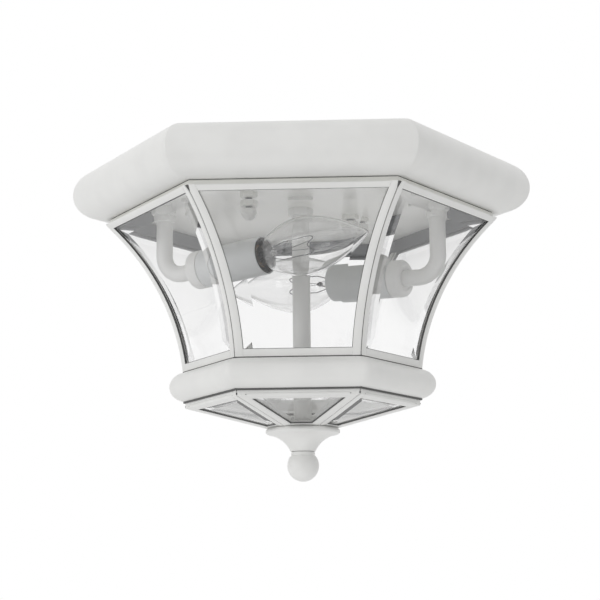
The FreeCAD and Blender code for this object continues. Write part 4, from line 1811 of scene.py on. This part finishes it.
@dataclass
class LowerPyramid:
    """Six flat bevelled panes in their frames, which slope down to the hub."""

    lower: FramedPane = FramedPane(
        Slope(low=17.75, high=58.4, low_z=-150.2, high_z=-137.8),
        rows=1, sheet=2.2, bevel_width=6.0, bevel_depth=0.5, outer_is_deep=True)
    hub_edge: float = 0.3
    pane_crease: float = 4.0

    def build(self, shop: Workshop) -> None:
        """Makes the frames' layers, the panes and the hub.

        Args:
            shop: finishes the pieces.
        """
        layers, pane = self.lower.layers("white_enamel"), self.lower.pane()
        for name, (mesh, slot) in layers.items():
            shop.piece(merged([copied(mesh, side.turn) for side in Side]), "look_lower_" + name,
                       ["lower_frames"], slot=slot)
            mesh.free()
        for side in Side:
            shop.piece(copied(pane, side.turn), "look_lower_glass_" + side.word,
                       ["lower_glass_" + side.word], self.pane_crease)
        pane.free()
        shop.refined("lower_hub", self.hub_edge)


@dataclass
class CapAndFinial:
    """Trumpet-shaped bell cap under the pyramid, and the ball that screws on below it."""

    bore: float = 5.645
    cap_top: float = -154.0
    cap_bottom: float = -166.9
    cap_radius: float = 21.3
    lip_radius: float = 1.5
    neck_radius: float = 7.0
    sag: float = 2.0
    finial_top: float = -167.1
    ball_radius: float = 9.08
    ball_centre: float = -174.9
    collar_radius: float = 6.8
    collar_height: float = 2.2
    finial_bore: float = 5.195
    finial_bore_depth: float = 10.2
    collar_edge: float = 0.5
    lip_rows: int = 12
    sag_rows: int = 20
    ball_rows: int = 28
    steps: int = 96

    def cap_outline(self) -> list[Point]:
        """Section of the cap: flat top, rounded lip, then a curve drawn in to the neck.

        Returns:
            The closed section as radius and height.
        """
        lip_inner = self.cap_radius - self.lip_radius
        lip_low = self.cap_top - 2 * self.lip_radius
        run_r = lip_inner - self.neck_radius
        run_z = lip_low - self.cap_bottom
        length = math.hypot(run_r, run_z)
        middle = ((lip_inner + self.neck_radius) / 2 - self.sag * run_z / length,
                  (lip_low + self.cap_bottom) / 2 + self.sag * run_r / length)
        points = [(self.bore, self.cap_top), (lip_inner, self.cap_top)]
        points += arc_through(points[-1], (self.cap_radius, self.cap_top - self.lip_radius),
                              (lip_inner, lip_low), self.lip_rows)
        points += arc_through(points[-1], middle, (self.neck_radius, self.cap_bottom), self.sag_rows)
        return points + [(self.bore, self.cap_bottom)]

    def finial_outline(self) -> list[Point]:
        """Section of the finial: a collar with rounded edges over a ball, bored from above.

        Returns:
            The section as radius and height, with both ends on the axis.
        """
        collar_low = self.finial_top - self.collar_height
        on_ball = self.ball_centre + math.sqrt(self.ball_radius ** 2 - self.collar_radius ** 2)
        start = (self.collar_radius, min(on_ball, collar_low))
        bore_low = self.finial_top - self.finial_bore_depth
        head = softened([(self.finial_bore, self.finial_top), (self.collar_radius, self.finial_top), start],
                        self.collar_edge, closed=False)
        first = math.atan2(start[1] - self.ball_centre, start[0])
        ball = []
        for k in range(1, self.ball_rows):
            angle = first + (-QUARTER - first) * k / self.ball_rows
            ball.append((self.ball_radius * math.cos(angle),
                         self.ball_centre + self.ball_radius * math.sin(angle)))
        ball.append((0.0, self.ball_centre - self.ball_radius))
        return [(0.0, bore_low), (self.finial_bore, bore_low)] + head + ball

    def build(self, shop: Workshop) -> None:
        """Makes the cap and the finial.

        Args:
            shop: finishes the pieces.
        """
        shop.piece(spun(self.cap_outline(), self.steps), "look_bell_cap", ["bell_cap"])
        finial = spun(self.finial_outline(), self.steps, closed=False)
        shop.piece(finial, "look_ball_finial", ["ball_finial"])


# Studio

@dataclass(frozen=True)
class Softbox:
    """Square area lamp aimed at the light.

    Azimuth 0 stands in front of the flat side, and 90 to its right. Angles are degrees, the power
    is in watts.
    """

    name: str
    azimuth: float
    elevation: float
    distance: float
    size: float
    power: float
    tone: str = "FFFFFF"

    def build(self, target: Vector) -> None:
        """Places the lamp.

        Args:
            target: point that it shines at.
        """
        a, e = math.radians(self.azimuth), math.radians(self.elevation)
        back = Vector((math.sin(a) * math.cos(e), -math.cos(a) * math.cos(e), math.sin(e)))
        data = bpy.data.lights.new(self.name, "AREA")
        data.shape = "SQUARE"
        data.size = self.size
        data.energy = self.power
        data.color = linear(self.tone)[:3]
        lamp = in_scene(self.name, data)
        lamp.location = target + back * self.distance
        lamp.rotation_euler = back.to_track_quat("Z", "Y").to_euler()
        lamp.visible_camera = False
        lamp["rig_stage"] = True


@dataclass
class Studio:
    """White surroundings, soft lamps, dark cards, a far floor and the fitted camera."""

    sky: float = 0.62
    white: str = "FFFFFF"
    floor_colour: str = "ECECEC"
    card_colour: str = "3A3A3C"
    floor_z: float = -2.4
    floor_size: float = 8.0
    lens: float = 113.525
    sensor: float = 36.0
    camera_turn: float = 2.2623
    camera_lift: float = 9.7532
    camera_roll: float = -0.5848
    camera_distance: float = 1.0939
    camera_aim: tuple = (-0.00086, 0.0, -0.0791)
    camera_near: float = 0.01
    bounces: int = 24
    card_distance: float = 1.5
    card_size: tuple = (0.5, 1.6)
    card_azimuths: tuple = (-100.0, 100.0)
    lamps: tuple[Softbox, ...] = (
        Softbox("key_left", azimuth=-62.0, elevation=12.0, distance=1.6, size=1.1, power=4.9),
        Softbox("fill_front", azimuth=8.0, elevation=52.0, distance=1.8, size=1.2, power=1.8),
        Softbox("lift_below", azimuth=-10.0, elevation=-66.0, distance=1.6, size=1.2, power=4.1),
    )

    def world(self) -> None:
        """World that looks white and lights evenly with its own strength."""
        world = bpy.data.worlds.new("white_surroundings")
        tree = emptied_tree(world)
        white = add_node(tree, "ShaderNodeBackground", {"Color": linear(self.white), "Strength": 1.0})
        soft = add_node(tree, "ShaderNodeBackground", {"Color": linear(self.white), "Strength": self.sky})
        mixed = add_node(tree, "ShaderNodeMixShader", links={
            "Fac": seen_white(tree), 1: soft.outputs["Background"], 2: white.outputs["Background"]})
        add_node(tree, "ShaderNodeOutputWorld", links={"Surface": mixed.outputs["Shader"]})
        bpy.context.scene.world = world

    def floor(self) -> None:
        """Pale floor far below, white where the camera sees it or sees it in glass or metal."""
        bm = bmesh.new()
        bmesh.ops.create_grid(bm, x_segments=4, y_segments=4, size=self.floor_size / 2,
                              matrix=Matrix.Translation((0, 0, self.floor_z)))
        mesh = mesh_from(bm, "floor")
        made = in_scene("floor", mesh)
        material = bpy.data.materials.new("pale_floor")
        tree = emptied_tree(material)
        glow = add_node(tree, "ShaderNodeEmission", {"Color": linear(self.white), "Strength": 1.0})
        dull = add_node(tree, "ShaderNodeBsdfDiffuse", {"Color": linear(self.floor_colour)})
        mixed = add_node(tree, "ShaderNodeMixShader", links={
            "Fac": seen_white(tree), 1: dull.outputs["BSDF"], 2: glow.outputs["Emission"]})
        add_node(tree, "ShaderNodeOutputMaterial", links={"Surface": mixed.outputs["Shader"]})
        mesh.materials.append(material)
        made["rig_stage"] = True

    def cards(self) -> None:
        """Dark cards left and right, which show only as reflections and light nothing."""
        material = bpy.data.materials.new("dark_card")
        tree = emptied_tree(material)
        dull = add_node(tree, "ShaderNodeEmission", {"Color": linear(self.card_colour), "Strength": 1.0})
        add_node(tree, "ShaderNodeOutputMaterial", links={"Surface": dull.outputs["Emission"]})
        wide, tall = self.card_size
        for azimuth in self.card_azimuths:
            a = math.radians(azimuth)
            away = Vector((math.sin(a), -math.cos(a), 0.0))
            # A square of one metre, which the card's scale stretches
            bm = bmesh.new()
            bmesh.ops.create_grid(bm, x_segments=1, y_segments=1, size=0.5)
            mesh = mesh_from(bm, "card")
            mesh.materials.append(material)
            card = in_scene("card", mesh)
            card.scale = (wide, tall, 1.0)
            card.rotation_euler = away.to_track_quat("Z", "Y").to_euler()
            card.location = away * self.card_distance
            card.visible_camera = False
            card.visible_diffuse = False
            card.visible_shadow = False
            card.visible_transmission = False
            card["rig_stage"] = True

    def camera(self) -> None:
        """Camera fitted to the photograph."""
        data = bpy.data.cameras.new("camera")
        data.lens = self.lens
        data.sensor_width = self.sensor
        data.sensor_fit = "HORIZONTAL"
        data.clip_start = self.camera_near
        camera = in_scene("camera", data)
        camera.matrix_world = (
            Matrix.Rotation(math.radians(self.camera_turn), 4, "Z")
            @ Matrix.Translation(self.camera_aim)
            @ Matrix.Rotation(math.radians(90 + self.camera_lift), 4, "X")
            @ Matrix.Translation((0, 0, self.camera_distance))
            @ Matrix.Rotation(math.radians(self.camera_roll), 4, "Z")
        )
        bpy.context.scene.camera = camera

    def build(self) -> None:
        """Sets the view, the light paths, the world, the floor, the cards, the lamps and the camera."""
        scene = bpy.context.scene
        scene.view_settings.view_transform = "Standard"
        scene.cycles.max_bounces = self.bounces
        scene.cycles.transmission_bounces = self.bounces
        scene.cycles.transparent_max_bounces = self.bounces
        scene.cycles.caustics_reflective = False
        scene.cycles.caustics_refractive = False
        self.world()
        self.floor()
        self.cards()
        for lamp in self.lamps:
            lamp.build(Vector((0, 0, self.camera_aim[2])))
        self.camera()


def seen_white(tree: bpy.types.NodeTree) -> Any:
    """Tells the rays that see plain white, which come from the camera, a shiny surface or glass.

    Args:
        tree: the node tree.

    Returns:
        The socket, which is 1 for those rays.
    """
    path = add_node(tree, "ShaderNodeLightPath")
    shiny = add_node(tree, "ShaderNodeMath", {"operation": "MAXIMUM"},
                     {0: path.outputs["Is Glossy Ray"], 1: path.outputs["Is Transmission Ray"]})
    seen = add_node(tree, "ShaderNodeMath", {"operation": "MAXIMUM"},
                    {0: path.outputs["Is Camera Ray"], 1: shiny.outputs["Value"]})
    return seen.outputs["Value"]


def candle_frame(joint: dict) -> Matrix:
    """Place of a candle light.

    Args:
        joint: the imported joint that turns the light's bulb.

    Returns:
        The matrix that takes +Z at the origin to the candle's axis.
    """
    axis = Vector(joint["axis"]).normalized()
    swing = Matrix.Rotation(math.atan2(axis.y, axis.x), 4, "Z")
    lean = Matrix.Rotation(math.acos(axis.z), 4, "Y")
    return Matrix.Translation(Vector(joint["pos_m"])) @ swing @ lean


def write_size(low: Vector, high: Vector, key: str, store: dict) -> None:
    """Args:
        low: the box's low corner in metres.
        high: its high corner.
        key: name of the box.
        store: the boxes so far, to which this one is added.
    """
    store[key] = [list(low), list(high)]


def main() -> None:
    """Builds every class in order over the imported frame."""
    logging.basicConfig(level=logging.INFO, format="%(message)s")
    for item in list(bpy.data.objects):
        bpy.data.objects.remove(item)
    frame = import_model()
    sizes: dict[str, list] = {}
    write_size(*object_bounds(), "cad", sizes)
    shop = Workshop(frame)
    joints = {joint["name"]: joint for joint in frame["joints"]}
    candles = [CandleLight(light, candle_frame(joints["bulb_" + light.value + "_turn"])) for light in Light]
    makers: list[Any] = [Canopy(), CeilingHardware(), CentreRod(), *candles, GlassCage(), LowerPyramid(),
                         CapAndFinial()]
    makers += [TorpedoBulb(candle.light, candle.frame) for candle in candles]
    for maker in makers:
        maker.build(shop)
    ScrewShells().build(shop, candles)
    Studio().build()
    write_size(*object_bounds(), "looks", sizes)


if __name__ == "__main__":
    main()
